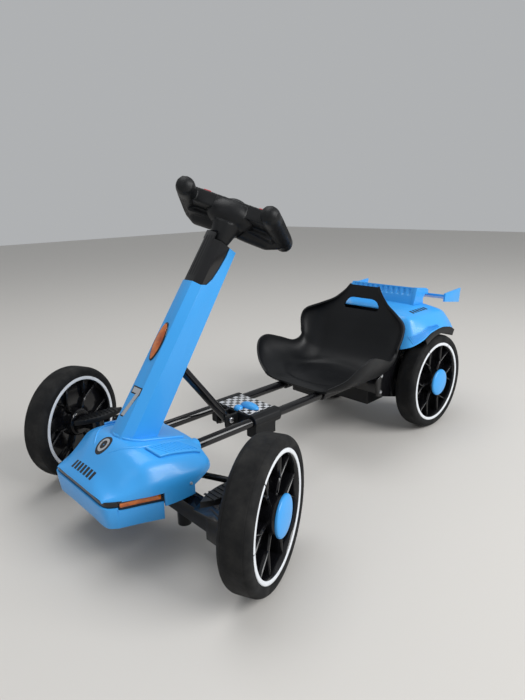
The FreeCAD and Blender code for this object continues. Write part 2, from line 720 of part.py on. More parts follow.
def nose_loft(grow, stretch, skirt):
    """The nose's body, grown outward by a distance and lengthened at both ends by another."""
    sections = []
    last = len(NOSE_SECTIONS) - 1
    for index, (x, crown, crown_y, crease, shoulder_y, shoulder, half, edge) in enumerate(NOSE_SECTIONS):
        x += stretch if index == 0 else -stretch if index == last else 0
        right = [(x, half - 2 + grow, skirt), (x, half + grow, edge),
                 (x, shoulder_y + grow * 0.6, shoulder + grow), (x, crown_y + grow * 0.3, crease + grow),
                 (x, crown_y * 0.5, crown + grow)]
        sections.append(both_sides(right))
    return loft(sections)


def raised(blocks):
    """Low relief on the nose's surface, cut from upright blocks."""
    lift = Part.makeCompound(blocks).common(nose_loft(RAISED, 0, NOSE_SKIRT))
    return lift.cut(nose_loft(-NOSE_WALL, -NOSE_WALL, NOSE_SKIRT - 1))


def foot_rim():
    """Upright block round the column's foot, open to the rear."""
    inner = [(x - RIM_T if x > 60 else x, y - RIM_T) for x, y in RIM_PLAN]
    inner[0] = (inner[0][0] - 1, inner[0][1])
    outer_block = plan_prism(both_sides(RIM_PLAN), 0, COLUMN_RISE)
    return outer_block.cut(plan_prism(both_sides(inner), -1, COLUMN_RISE + 1))


def band_z(heights, x):
    """Height of a band's edge at a place along the nose."""
    rear_x, front_x = BUMPER_PLAN[-1][0], BUMPER_PLAN[0][0]
    return heights[0] + (heights[1] - heights[0]) * (x - rear_x) / (front_x - rear_x)


def low_front():
    """Side view of what is cut away below the nose's front for the lamps and the bumper."""
    rear_x, far_x = BUMPER_PLAN[-1][0], NOSE_FRONT + RIM_T
    deep = 2 * NOSE_SKIRT
    return [(rear_x, deep), (rear_x, BUMPER_TOP[0]), (LAMP_END, band_z(BUMPER_TOP, LAMP_END)),
            (LAMP_END, band_z(STRIP_TOP, LAMP_END)), (far_x, band_z(STRIP_TOP, far_x)), (far_x, deep)]


def nose_shell():
    low = NOSE_SKIRT - 5
    shell = nose_loft(0, 0, NOSE_SKIRT).cut(nose_loft(-NOSE_WALL, -NOSE_WALL, low))
    pads = [plan_prism(PAD_PLAN, 0, COLUMN_RISE), plan_prism([(x, -y) for x, y in PAD_PLAN], 0, COLUMN_RISE)]
    shell = fuse([shell, raised(pads + [foot_rim()])])
    for side_view in (low_front(), NOSE_LOW_REAR):
        shell = shell.cut(side_prism(side_view, -KINGPIN_Y, 2 * KINGPIN_Y))
    for y in (-TUBE_Y, TUBE_Y):
        shell = shell.cut(rod(TUBE_R, (-TUBE_REAR, y, TUBE_RISE), (0, y, TUBE_RISE)))
    return at_front(shell).cut(to_column(column_solid(-COLUMN_GAP, 0, 2 * COLUMN_LOW_S, LAMP_S)))


def bumper_level(rear_z, front_z, pull, inset):
    """The bumper's outline at a height that changes from its rear ends to its front."""
    heights = (rear_z, front_z)
    share_of = (0.0, 1.0)
    right = []
    for x, y in BUMPER_PLAN:
        share = band_z(share_of, x)
        right.append((x - (pull + inset) * share, y - inset, band_z(heights, x - inset * share)))
    return both_sides(right)


def bumper_band(low, high, rake, inset, wall):
    """A U-shaped wall under the nose between two pairs of heights, each the rear and the front one."""
    solid = loft([bumper_level(*low, rake, inset), bumper_level(*high, 0, inset)])
    past = 1.0
    low = (low[0] - past, low[1] - past)
    high = (high[0] + past, high[1] + past)
    hollow = loft([bumper_level(*low, rake, inset + wall), bumper_level(*high, 0, inset + wall)])
    return solid.cut(moved(hollow, -wall, 0, 0).fuse(hollow))


def nose_lamps():
    """The amber lens on each side, let into the front of the dark strip."""
    top = [z - 1.5 for z in STRIP_TOP]
    low = [z + 1.5 for z in BUMPER_TOP]
    lens = bumper_band(low, top, 0, STRIP_INSET - 0.5, STRIP_T - 1)
    blocks = [plan_prism(LAMP_PLAN, NOSE_SKIRT, COLUMN_RISE)]
    blocks.append(plan_prism([(x, -y) for x, y in LAMP_PLAN], NOSE_SKIRT, COLUMN_RISE))
    return Part.makeCompound([lens.common(block) for block in blocks])


def build_nose():
    lamps = nose_lamps()
    strip = bumper_band(BUMPER_TOP, STRIP_TOP, 0, STRIP_INSET, STRIP_T)
    strip = strip.cut(box(0, LAMP_END, -KINGPIN_Y, KINGPIN_Y, NOSE_SKIRT, COLUMN_RISE))
    add("nose_shell", nose_shell())
    add("lamp_strip", at_front(strip.cut(lamps)))
    add("nose_lamps", at_front(lamps))
    add("nose_bumper", at_front(bumper_band(BUMPER_LOW, BUMPER_TOP, BUMPER_RAKE, 0, BUMPER_WALL)))


# Seat, drawn from the rear axle's place and the height of the frame tubes

# Each section of the bucket: place and height of its middle, direction it faces in degrees from straight up
# towards the front, half width, rise of its sides, half width of its flat middle.
SEAT_SECTIONS = [
    (296.0, 13.0, 14.0, 84.0, 12.0, 46.0),
    (282.0, 15.5, 8.0, 118.0, 32.0, 62.0),
    (262.0, 15.5, 5.0, 138.0, 60.0, 64.0),
    (235.0, 17.0, 4.0, 142.0, 68.0, 70.0),
    (200.0, 17.0, 2.0, 137.0, 57.0, 72.0),
    (160.0, 19.0, 4.0, 129.0, 41.0, 74.0),
    (128.0, 34.0, 15.0, 127.0, 36.0, 76.0),
    (108.0, 64.0, 55.0, 129.0, 34.0, 78.0),
    (95.0, 99.0, 74.0, 134.0, 37.0, 80.0),
    (89.0, 120.0, 78.0, 128.0, 33.0, 78.0),
    (84.0, 136.0, 78.0, 100.0, 18.0, 66.0),
    (79.0, 152.0, 78.0, 70.0, 8.0, 52.0),
    (74.0, 172.0, 78.0, 48.0, 3.0, 38.0),
    (70.0, 188.0, 78.0, 36.0, 1.5, 28.0),
]
SEAT_STEPS = 4
# The handle hole near the seat's top, as half width and height
HANDLE_HOLE = [(43.0, 136.0), (46.0, 144.0), (34.0, 160.0)]


def seat_section(x, z, lean_deg, half, rise, flat):
    """One closed outline across the bucket: its inner face, and its outer face a shell's thickness off."""
    lean = math.radians(lean_deg)
    inner, outer = [], []
    for step in range(SEAT_STEPS + 1):
        a = math.pi / 2 * step / SEAT_STEPS
        y, up = flat + (half - flat) * math.sin(a), rise * (1 - math.cos(a))
        for points, off in ((inner, 0), (outer, SEAT_T)):
            out_y, out_up = y + off * math.sin(a), up - off * math.cos(a)
            points.append((x + math.sin(lean) * out_up, out_y, z + math.cos(lean) * out_up))
    right = inner + outer[::-1]
    left = [(px, -py, pz) for px, py, pz in outer + inner[::-1]]
    return right + left


def on_tubes(shape):
    return moved(shape, REAR_AXLE_X, 0, TUBE_Z)


def seat_shell():
    shell = loft([seat_section(*row) for row in SEAT_SECTIONS])
    outline = HANDLE_HOLE + [(-y, z) for y, z in reversed(HANDLE_HOLE)]
    hole = prism([(0, y, z) for y, z in outline], (TUBE_REAR, 0, 0))
    return on_tubes(shell.cut(hole))


def seat_base():
    """Block between the tubes that carries the bucket, lower in front where the bucket's lip rises."""
    y = SEAT_BASE_Y
    return on_tubes(fuse([box(152, 234, -y, y, -14, 13), box(234, 270, -y, y, -14, 8)]))


def build_seat():
    add("seat_shell", seat_shell())
    add("seat_base", seat_base())


# Rear

# Outline of a side plate from the rear axle, without its upper end, which meets the tray
PLATE_LOW = [(97, 85), (125, 44), (154, 32), (150, -7), (80, -27), (-32, -21), (-32, 27)]


def side_plate(side):
    y = SIDE_PLATE_Y if side > 0 else -SIDE_PLATE_Y - SIDE_PLATE_T
    top = WHEEL_R + TRAY_RISE
    plate = side_prism([(-10, top), (82, top)] + PLATE_LOW, y, SIDE_PLATE_T)
    return at_rear(plate.cut(rod(AXLE_R, (0, -REAR_TRACK, 0), (0, REAR_TRACK, 0))))


def rear_frame():
    """Tube sockets on a cross beam that joins the two side plates."""
    pieces = [box(120, 152, -SIDE_PLATE_Y, SIDE_PLATE_Y, -22, 4)]
    for y in (-TUBE_Y, TUBE_Y):
        pieces.append(rod(SOCKET_R, (SOCKET_REAR, y, 0), (SOCKET_FRONT, y, 0)))
    whole = fuse(pieces)
    for y in (-TUBE_Y, TUBE_Y):
        whole = whole.cut(rod(TUBE_R, (TUBE_REAR, y, 0), (WHEELBASE, y, 0)))
    return on_tubes(whole)


# Each section of the rear cover: place of its lower and of its upper edge, half width and height of the
# side's lower edge, of the crease between side and deck, and of the deck.
COVER_SECTIONS = [
    (112.0, 95.0, 117.0, -14.0, 117.0, 46.0, 88.0, 57.0),
    (98.0, 86.0, 141.0, -7.0, 127.0, 50.0, 90.0, 59.0),
    (70.0, 70.0, 152.0, 4.0, 130.0, 51.0, 90.0, 60.0),
    (44.0, 44.0, 155.0, 16.0, 131.0, 52.0, 90.0, 61.0),
    (2.0, 2.0, 156.0, 21.0, 131.0, 52.0, 90.0, 61.0),
    (-30.0, -30.0, 154.0, 16.0, 130.0, 51.0, 88.0, 60.0),
    (-64.0, -50.0, 147.0, 7.0, 127.0, 47.0, 86.0, 56.0),
]
SEAT_ROOM = [(170, 121), (91, 121), (70, 102)]


def cover_outline(row, inset, drop, shift):
    """One section across the cover, all in one plane that leans when its two places differ."""
    low_x, top_x, low_y, low_z, edge_y, edge_z, deck_y, deck_z = row
    lean = (top_x - low_x) / (edge_z - low_z)
    points = [(low_y - inset, low_z - drop),
              (0.55 * low_y + 0.45 * edge_y + 3 - inset, 0.6 * low_z + 0.4 * edge_z),
              (edge_y - inset, edge_z - inset), (deck_y, deck_z - inset), (deck_y * 0.4, deck_z + 2 - inset)]
    return both_sides([(low_x + shift + lean * (z - low_z), y, z) for y, z in points])


def cover_solid():
    return loft([cover_outline(row, 0, 0, 0) for row in COVER_SECTIONS])


def cover_hollow():
    shifts = [1.0] + [0.0] * (len(COVER_SECTIONS) - 2) + [REAR_SHELL_T]
    pairs = zip(COVER_SECTIONS, shifts)
    return loft([cover_outline(row, REAR_SHELL_T, WHEEL_R / 2, shift) for row, shift in pairs])


def rear_shell():
    """Blue cover over the rear wheels: a deck with flared sides, cut back round the seat and the tyres."""
    room = plan_prism(both_sides(SEAT_ROOM), -WHEEL_R, WHEEL_R)
    return over_tyres(cover_solid().cut(cover_hollow()).cut(room))


def arch_liner(side):
    """Black inner arch: a curved strip over the tyre, from the side plate out to the cover's side."""
    inner = WHEEL_R + LINER_GAP
    span = sorted((side * (SIDE_PLATE_Y + SIDE_PLATE_T), side * (REAR_TRACK / 2 + TYRE_W / 2 - 2)))
    strip = tube(inner + LINER_T, inner, (0, span[0], -WHEEL_R), (0, span[1], -WHEEL_R))
    reach = 2 * WHEEL_R
    sector = side_prism([(0, -WHEEL_R), (-reach, -WHEEL_R + reach * 1.1), (reach * 0.7, -WHEEL_R + reach)],
                        span[0], span[1] - span[0])
    return strip.common(sector)


def rear_tray():
    """Plate on the two side plates, with two ribs that carry the cover."""
    plate_edge = SIDE_PLATE_Y + SIDE_PLATE_T
    pieces = [box(-12, 74, -plate_edge, plate_edge, TRAY_RISE, TRAY_RISE + TRAY_T)]
    for x in (-6.0, 44.0):
        rib = box(x, x + TRAY_T, -90, 90, TRAY_RISE, HUMP_RISE)
        pieces.append(rib.common(cover_hollow()))
    return over_tyres(fuse(pieces))


def bulkhead():
    """Upright wall behind the seat, leaning back, with a row of half-round grooves under its top edge."""
    rise = HUMP_RISE - DECK_RISE
    down = V(HUMP_FOOT - HUMP_TOP, 0, -rise)
    down.normalize()
    foot = V(HUMP_TOP, 0, HUMP_RISE) + down * (rise + 16)
    wall = prism([(foot.x, -HUMP_HALF_W, foot.z), (HUMP_TOP, -HUMP_HALF_W, HUMP_RISE),
                  (HUMP_TOP - HUMP_T, -HUMP_HALF_W, HUMP_RISE), (foot.x - HUMP_T, -HUMP_HALF_W, foot.z)],
                 (0, 2 * HUMP_HALF_W, 0))
    for index in range(LOUVRES):
        top = V(HUMP_TOP, (index - (LOUVRES - 1) / 2) * LOUVRE_PITCH, HUMP_RISE)
        wall = wall.cut(rod(LOUVRE_R, top + down * 4, top + down * 18))
    return wall


def wing_arm(side):
    """Post at one end of the bulkhead that turns back over an open gap and runs out to the wing."""
    y = -HUMP_HALF_W if side < 0 else HUMP_HALF_W - ARM_THICK
    end = WING_FRONT - ARM_THICK
    side_view = [(HUMP_FOOT + 4, DECK_RISE - 14), (HUMP_TOP, HUMP_RISE), (-43, 93), (end, WING_RISE + 4),
                 (end, WING_RISE - 1), (WING_FRONT, WING_RISE - 2), (-40, 80), (-31, 71),
                 (-34, DECK_RISE - 14)]
    return side_prism(side_view, y, ARM_THICK)


def rear_wing():
    """Blade with two end plates, carried by the bulkhead's two arms."""
    blade = [(WING_REAR, WING_RISE + 7), (WING_FRONT, WING_RISE + 3), (WING_FRONT, WING_RISE - 2),
             (WING_REAR, WING_RISE + 2)]
    plate = [(WING_REAR, WING_RISE + 8), (WING_FRONT + 2, WING_RISE + 4), (WING_FRONT + 4, WING_RISE - 14),
             (WING_REAR + 4, WING_RISE - 24)]
    pieces = [side_prism(blade, -WING_HALF_SPAN, 2 * WING_HALF_SPAN), bulkhead(), wing_arm(-1), wing_arm(1)]
    for y in (-WING_HALF_SPAN, WING_HALF_SPAN - END_PLATE_T):
        pieces.append(side_prism(plate, y, END_PLATE_T))
    return over_tyres(fuse(pieces).cut(cover_solid()))


def build_rear():
    add("side_plate_left", side_plate(1))
    add("side_plate_right", side_plate(-1))
    add("rear_frame", rear_frame())
    add("battery_box", at_rear(box(58, 120, -MOTOR_Y, MOTOR_Y, -47, TUBE_RISE + 4)))
    axle_room = rod(AXLE_R, (0, -REAR_TRACK, 0), (0, REAR_TRACK, 0))
    for name, side in (("gear_motor_left", 1), ("gear_motor_right", -1)):
        span = sorted((side * MOTOR_Y, side * SIDE_PLATE_Y))
        add(name, at_rear(box(-30, 52, span[0], span[1], -27, 33).cut(axle_room)))
    reach = REAR_TRACK / 2 + RIM_W / 2 - HUB_INSET
    add("rear_axle", at_rear(rod(AXLE_R, (0, -reach, 0), (0, reach, 0))))
    add("rear_shell", rear_shell())
    add("rear_tray", rear_tray())
    add("arch_liners", over_tyres(Part.makeCompound([arch_liner(1), arch_liner(-1)])))
    add("rear_wing", rear_wing())


def export():
    os.makedirs("parts", exist_ok=True)
    for name, shape in parts.items():
        shape.exportStep(os.path.join("parts", name + ".step"))
        print(f"{name}: {len(shape.Solids)} solid, valid {shape.isValid()}, {shape.Volume / 1000:.1f} cm3")


build_wheels()
build_front_axle()
build_frame()
build_column()
build_nose()
build_seat()
build_rear()
export()
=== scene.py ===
# %% [markdown]
# # A child's electric go-kart
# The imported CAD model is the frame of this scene. Each visible piece either dresses a CAD node or replaces
# it, and it rides on the same moving body. Lengths in this file are in millimetres, and MM turns them into
# Blender's metres. +X points to the nose, +Y to the rider's left and +Z up, with the ground at zero.

# %% Load the frame
import json
import math

import bmesh
import bpy
from mathutils import Matrix, Vector, bvhtree


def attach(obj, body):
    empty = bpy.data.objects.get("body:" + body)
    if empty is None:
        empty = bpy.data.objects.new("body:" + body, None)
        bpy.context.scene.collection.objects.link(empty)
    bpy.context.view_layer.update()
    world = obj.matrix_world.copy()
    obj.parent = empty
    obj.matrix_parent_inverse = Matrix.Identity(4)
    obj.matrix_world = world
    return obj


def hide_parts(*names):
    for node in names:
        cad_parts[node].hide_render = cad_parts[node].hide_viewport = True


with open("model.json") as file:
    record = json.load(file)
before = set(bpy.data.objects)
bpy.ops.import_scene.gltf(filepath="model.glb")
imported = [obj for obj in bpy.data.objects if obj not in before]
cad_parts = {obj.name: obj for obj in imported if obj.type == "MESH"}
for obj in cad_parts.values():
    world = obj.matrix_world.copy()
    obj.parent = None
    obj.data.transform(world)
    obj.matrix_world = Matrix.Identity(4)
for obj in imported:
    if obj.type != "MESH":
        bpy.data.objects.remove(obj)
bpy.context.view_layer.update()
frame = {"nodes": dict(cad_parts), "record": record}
MM = 0.001
FRONT_AXLE_X, REAR_AXLE_X, AXLE_Z = 320.0, -320.0, 105.0
TUBE_Y, TUBE_Z = 50.0, 126.0
print("nodes:", len(frame["nodes"]))

# %% [markdown]
# ## Mesh helpers
# A moulded shell is drawn as a grid of points with a wall, and a round part as a profile turned about an
# axis. A welded or cut piece is a copy of its CAD node: the copy is merged, its flat triangles are joined
# into faces, and a Bevel modifier breaks its edges. Modifiers are applied at once, so that each result is one
# plain mesh at the origin.

# %% Mesh helpers
WELD = 0.02 * MM
FLAT_WITHIN_DEG = 0.6


def link(name, mesh):
    obj = bpy.data.objects.new(name, mesh)
    bpy.context.scene.collection.objects.link(obj)
    return obj


def mesh_object(name, points, faces):
    mesh = bpy.data.meshes.new(name)
    mesh.from_pydata([Vector(p) * MM for p in points], [], faces)
    mesh.update()
    return link(name, mesh)


def turn_out(obj):
    """Merges doubles and points every face outwards."""
    bm = bmesh.new()
    bm.from_mesh(obj.data)
    bmesh.ops.remove_doubles(bm, verts=bm.verts, dist=WELD)
    bmesh.ops.recalc_face_normals(bm, faces=bm.faces)
    bm.to_mesh(obj.data)
    bm.free()


def smooth(obj, angle=35.0):
    obj.data.shade_smooth()
    obj.data.set_sharp_from_angle(angle=math.radians(angle))


def apply_all(obj):
    """Replaces the mesh by its evaluated form and drops the modifiers."""
    graph = bpy.context.evaluated_depsgraph_get()
    mesh = bpy.data.meshes.new_from_object(obj.evaluated_get(graph))
    obj.modifiers.clear()
    obj.data = mesh


def bevel(obj, width, segments=3, angle=30.0):
    mod = obj.modifiers.new("Bevel", "BEVEL")
    mod.width = width * MM
    mod.segments = segments
    mod.limit_method = "ANGLE"
    mod.angle_limit = math.radians(angle)
    mod.miter_outer = "MITER_ARC"
    mod.use_clamp_overlap = True


def settle(obj, body, material, nodes=()):
    """Gives a finished piece its material and its body, and hides the CAD nodes it stands for."""
    obj.data.materials.clear()
    obj.data.materials.append(material)
    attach(obj, body)
    if nodes:
        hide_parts(*nodes)
    return obj


def cad_copy(node, name):
    """A merged copy of a CAD node's mesh, its coplanar triangles joined."""
    source = frame["nodes"][node]
    obj = link(name, source.data.copy())
    bm = bmesh.new()
    bm.from_mesh(obj.data)
    bmesh.ops.remove_doubles(bm, verts=bm.verts, dist=WELD)
    bmesh.ops.dissolve_limit(bm, angle_limit=math.radians(FLAT_WITHIN_DEG), verts=bm.verts, edges=bm.edges)
    bm.to_mesh(obj.data)
    bm.free()
    return obj


def prism(name, near, far):
    """A closed solid between two outlines of as many points."""
    count = len(near)
    faces = [tuple(range(count)), tuple(reversed(range(count, 2 * count)))]
    for i in range(count):
        k = (i + 1) % count
        faces.append((i, i + count, k + count, k))
    obj = mesh_object(name, list(near) + list(far), faces)
    turn_out(obj)
    return obj


def facing(place, direction):
    """A matrix that takes the origin to a place and the Z axis to a direction."""
    turn = Vector(direction).to_track_quat("Z", "Y").to_matrix().to_4x4()
    return Matrix.Translation(place) @ turn


def body_of_node(node):
    for body, nodes in frame["record"]["behaviour"]["bodies"].items():
        if node in nodes:
            return body
    return "chassis"


def slot_of_node(node):
    for row in frame["record"]["subparts"]:
        if row["node"] == node:
            return row["material_slot"]
    return None


def dress(node, material, width=1.0, segments=2):
    """The node with rounded edges and a new material, as a piece named after it."""
    obj = cad_copy(node, node + "_dressed")
    bevel(obj, width, segments)
    apply_all(obj)
    smooth(obj, 40)
    return settle(obj, body_of_node(node), material, [node])


# %% [markdown]
# ## Smooth skins
# The nose, the bucket seat and the rear cover are thin moulded skins. Each is drawn as a row of cross
# sections. A section is a few points across; its corners are rounded, the sections are joined by smooth
# curves, and the fine grid that results gets its wall from Solidify. A loft keeps the drawn sizes exactly,
# which a subdivided cage doesn't.

# %% Curves and skins


def curve_through(rows, steps):
    """Points on smooth curves through rows of equal length, with steps between neighbouring rows."""
    out = []
    last = len(rows) - 1
    for i in range(last):
        before, here, after, beyond = rows[max(i - 1, 0)], rows[i], rows[i + 1], rows[min(i + 2, last)]
        for k in range(steps):
            t = k / steps
            row = []
            for a, b, c, d in zip(before, here, after, beyond):
                bend = 2 * a - 5 * b + 4 * c - d + t * (3 * (b - c) + d - a)
                row.append(b + 0.5 * t * (c - a + t * bend))
            out.append(row)
    out.append(list(rows[-1]))
    return out


def rounded(points, share=0.4, steps=6):
    """A line of points whose inner corners are replaced by arcs, always the same number of points."""
    points = [Vector(p) for p in points]
    out = [points[0]]
    for before, corner, after in zip(points, points[1:], points[2:]):
        start = corner.lerp(before, share)
        end = corner.lerp(after, share)
        for k in range(steps + 1):
            t = k / steps
            out.append(start.lerp(corner, t).lerp(corner.lerp(end, t), t))
    out.append(points[-1])
    return out


def filled(line, count):
    """The same line in count equal steps, so that faces stay near square."""
    lengths = [0.0]
    for a, b in zip(line, line[1:]):
        lengths.append(lengths[-1] + (b - a).length)
    out, j = [], 0
    for k in range(count + 1):
        want = lengths[-1] * k / count
        while j < len(line) - 2 and lengths[j + 1] < want:
            j += 1
        gap = lengths[j + 1] - lengths[j]
        out.append(line[j].lerp(line[j + 1], (want - lengths[j]) / gap if gap > 0 else 0.0))
    return out


def skin(name, rows, wall):
    """A grid of points, rows by columns, as a wall that grows inwards."""
    width = len(rows[0])
    points = [p for row in rows for p in row]
    faces = []
    for i in range(len(rows) - 1):
        for j in range(width - 1):
            a = i * width + j
            faces.append((a, a + 1, a + width + 1, a + width))
    obj = mesh_object(name, points, faces)
    mod = obj.modifiers.new("Wall", "SOLIDIFY")
    mod.thickness = abs(wall) * MM
    mod.offset = -1.0 if wall > 0 else 1.0
    mod.use_even_offset = True
    apply_all(obj)
    turn_out(obj)
    return obj


def cut(obj, outline, direction):
    """Takes a prism out of a piece: an outline in millimetres, swept along a direction."""
    tool = prism("cutter", outline, [Vector(p) + Vector(direction) for p in outline])
    mod = obj.modifiers.new("Cut", "BOOLEAN")
    mod.operation = "DIFFERENCE"
    mod.solver = "EXACT"
    mod.object = tool
    apply_all(obj)
    bpy.data.objects.remove(tool)


def mirrored(points):
    """A half outline of (x, y) and its mirror image in y, as one closed outline."""
    return list(points) + [(x, -y) for x, y in reversed(points)]


# %% [markdown]
# ## Things laid on a surface
# Ribs, dashes and rings follow the skin they sit on. A flat patch is drawn beside the skin, every point of
# it is sent along one direction until it meets the skin, and its top is lifted off by the patch's thickness.

# %% Drape
# A ray starts this far back, in metres. The foot of a patch lies this far below the skin, in millimetres.
RAY_BACK, SUNK = 0.3, 0.4
CROWN_FOOT = 0.25


def tree_of(obj):
    return bvhtree.BVHTree.FromPolygons([v.co.copy() for v in obj.data.vertices],
                                        [tuple(p.vertices) for p in obj.data.polygons])


def landed(tree, point, direction, lift):
    """Where a point in millimetres lands on the surface, lifted off along the surface's own normal."""
    way = Vector(direction).normalized()
    place, normal, _, _ = tree.ray_cast(Vector(point) * MM - way * RAY_BACK, way)
    if place is None:
        return None
    if normal.dot(way) > 0:
        normal = -normal
    return (place / MM) + normal * lift


def patch(tree, corners, direction, height, columns=6, rows=3, crown=False):
    """Points and faces of a thin plate over four corners; crown rounds it across, as on a rib."""
    a, b, c, d = [Vector(p) for p in corners]
    top, foot = [], []
    for i in range(rows + 1):
        for j in range(columns + 1):
            u, v = j / columns, i / rows
            flat = a.lerp(b, u).lerp(d.lerp(c, u), v)
            swell = CROWN_FOOT + (1 - CROWN_FOOT) * math.sin(math.pi * v) if crown else 1.0
            high = landed(tree, flat, direction, height * swell)
            low = landed(tree, flat, direction, -SUNK)
            if high is None:
                return [], []
            top.append(high)
            foot.append(low)
    width, total = columns + 1, len(top)
    faces = []
    for i in range(rows):
        for j in range(columns):
            k = i * width + j
            faces.append((k, k + 1, k + width + 1, k + width))
            faces.append((total + k, total + k + width, total + k + width + 1, total + k + 1))
    ring = list(range(columns)) + [columns + i * width for i in range(rows)]
    ring += [rows * width + j for j in range(columns, 0, -1)] + [i * width for i in range(rows, 0, -1)]
    for k, here in enumerate(ring):
        after = ring[(k + 1) % len(ring)]
        faces.append((here, here + total, after + total, after))
    return top + foot, faces


def patches(name, target, rows, direction, height, crown=False, columns=6):
    """Many plates on one surface as one piece."""
    tree = tree_of(target)
    points, faces = [], []
    for corners in rows:
        new_points, new_faces = patch(tree, corners, direction, height, columns=columns, crown=crown)
        faces += [tuple(i + len(points) for i in face) for face in new_faces]
        points += new_points
    obj = mesh_object(name, points, faces)
    turn_out(obj)
    smooth(obj, 40)
    return obj


def bead(name, path, radius, closed=True):
    """A round bar along a path in millimetres."""
    data = bpy.data.curves.new(name, "CURVE")
    data.dimensions = "3D"
    line = data.splines.new("POLY")
    line.points.add(len(path) - 1)
    for place, p in zip(line.points, path):
        place.co = (*(Vector(p) * MM), 1)
    line.use_cyclic_u = closed
    data.bevel_depth = radius * MM
    data.bevel_resolution = 3
    data.use_fill_caps = not closed
    holder = link(name, data)
    graph = bpy.context.evaluated_depsgraph_get()
    mesh = bpy.data.meshes.new_from_object(holder.evaluated_get(graph))
    bpy.data.objects.remove(holder)
    obj = link(name, mesh)
    obj.name = name
    turn_out(obj)
    smooth(obj, 60)
    return obj


def lathe(name, profile, frame_matrix, steps=96, start=0.0, end=360.0):
    """A profile of (radius, out) turned about an axis; frame_matrix takes the axis Z to its place."""
    full = end - start >= 360.0
    count = steps if full else steps + 1
    points = []
    for k in range(count):
        angle = math.radians(start + (end - start) * k / steps)
        for radius, out in profile:
            points.append(frame_matrix @ Vector((radius * math.cos(angle), radius * math.sin(angle), out)))
    size = len(profile)
    faces = []
    for k in range(steps):
        after = (k + 1) % count
        for j in range(size):
            m = (j + 1) % size
            faces.append((k * size + j, after * size + j, after * size + m, k * size + m))
    if not full:
        faces.append(tuple(range(size)))
        faces.append(tuple(reversed(range(steps * size, (steps + 1) * size))))
    obj = mesh_object(name, points, faces)
    turn_out(obj)
    return obj


def join(name, pieces):
    """Several meshes as one piece."""
    bm = bmesh.new()
    for piece in pieces:
        bm.from_mesh(piece.data)
    mesh = bpy.data.meshes.new(name)
    bm.to_mesh(mesh)
    bm.free()
    for piece in pieces:
        bpy.data.objects.remove(piece)
    return link(name, mesh)


def melt(obj, voxel, rounds):
    """Joins a solid's parts into one flowing skin: remesh, then smooth."""
    remesh = obj.modifiers.new("Remesh", "REMESH")
    remesh.mode = "VOXEL"
    remesh.voxel_size = voxel * MM
    ease = obj.modifiers.new("Ease", "SMOOTH")
    ease.factor = 0.6
    ease.iterations = rounds
    apply_all(obj)
    obj.data.shade_smooth()
    return obj


# %% [markdown]
# ## Repeats with Geometry Nodes
# Spokes, grip ribs and foot ribs each repeat one small shape. One tree places copies of a piece about an
# axis and one along a line. Both have named inputs, end in Realize Instances and Set Material, and are turned
# into plain mesh before the piece rides on anything.

# %% Geometry Nodes


def new_group(name, inputs):
    group = bpy.data.node_groups.new(name, "GeometryNodeTree")
    ids = {}
    for title, kind in inputs:
        ids[title] = group.interface.new_socket(title, in_out="INPUT", socket_type=kind).identifier
    group.interface.new_socket("Geometry", in_out="OUTPUT", socket_type="NodeSocketGeometry")
    return group, ids, group.nodes.new("NodeGroupInput"), group.nodes.new("NodeGroupOutput")


def finish_group(group, source, points, rotation, end):
    """Instances of the named piece on points, realized and given the material."""
    add, wire = group.nodes.new, group.links.new
    info = add("GeometryNodeObjectInfo")
    wire(source.outputs["Piece"], info.inputs["Object"])
    copies = add("GeometryNodeInstanceOnPoints")
    wire(points, copies.inputs["Points"])
    wire(info.outputs["Geometry"], copies.inputs["Instance"])
    if rotation is not None:
        wire(rotation, copies.inputs["Rotation"])
    real = add("GeometryNodeRealizeInstances")
    wire(copies.outputs["Instances"], real.inputs["Geometry"])
    paint = add("GeometryNodeSetMaterial")
    wire(real.outputs["Geometry"], paint.inputs["Geometry"])
    wire(source.outputs["Material"], paint.inputs["Material"])
    wire(paint.outputs["Geometry"], end.inputs["Geometry"])


def round_tree():
    """Copies of a piece turned about the Z axis in equal steps."""
    group, ids, source, end = new_group("copies_about_axis", [
        ("Geometry", "NodeSocketGeometry"), ("Piece", "NodeSocketObject"), ("Count", "NodeSocketInt"),
        ("Material", "NodeSocketMaterial")])
    add, wire = group.nodes.new, group.links.new
    points = add("GeometryNodePoints")
    wire(source.outputs["Count"], points.inputs["Count"])
    index = add("GeometryNodeInputIndex")
    turn = add("ShaderNodeMath")
    turn.operation = "DIVIDE"
    wire(index.outputs["Index"], turn.inputs[0])
    wire(source.outputs["Count"], turn.inputs[1])
    angle = add("ShaderNodeMath")
    angle.operation = "MULTIPLY"
    angle.inputs[1].default_value = 2 * math.pi
    wire(turn.outputs[0], angle.inputs[0])
    axis = add("ShaderNodeCombineXYZ")
    wire(angle.outputs[0], axis.inputs["Z"])
    finish_group(group, source, points.outputs[0], axis.outputs[0], end)
    return group, ids


def row_tree():
    """Copies of a piece along a line, Step apart."""
    group, ids, source, end = new_group("copies_along_line", [
        ("Geometry", "NodeSocketGeometry"), ("Piece", "NodeSocketObject"), ("Count", "NodeSocketInt"),
        ("Step", "NodeSocketVector"), ("Material", "NodeSocketMaterial")])
    line = group.nodes.new("GeometryNodeMeshLine")
    group.links.new(source.outputs["Count"], line.inputs["Count"])
    group.links.new(source.outputs["Step"], line.inputs["Offset"])
    finish_group(group, source, line.outputs["Mesh"], None, end)
    return group, ids


def copies(name, piece, group_and_ids, material, **values):
    """Runs one of the two trees on a small piece and keeps the result as plain mesh."""
    group, ids = group_and_ids
    obj = link(name, bpy.data.meshes.new(name))
    mod = obj.modifiers.new("Copies", "NODES")
    mod.node_group = group
    mod[ids["Piece"]] = piece
    mod[ids["Material"]] = material
    for title, value in values.items():
        mod[ids[title]] = value
    apply_all(obj)
    bpy.data.objects.remove(piece)
    turn_out(obj)
    return obj


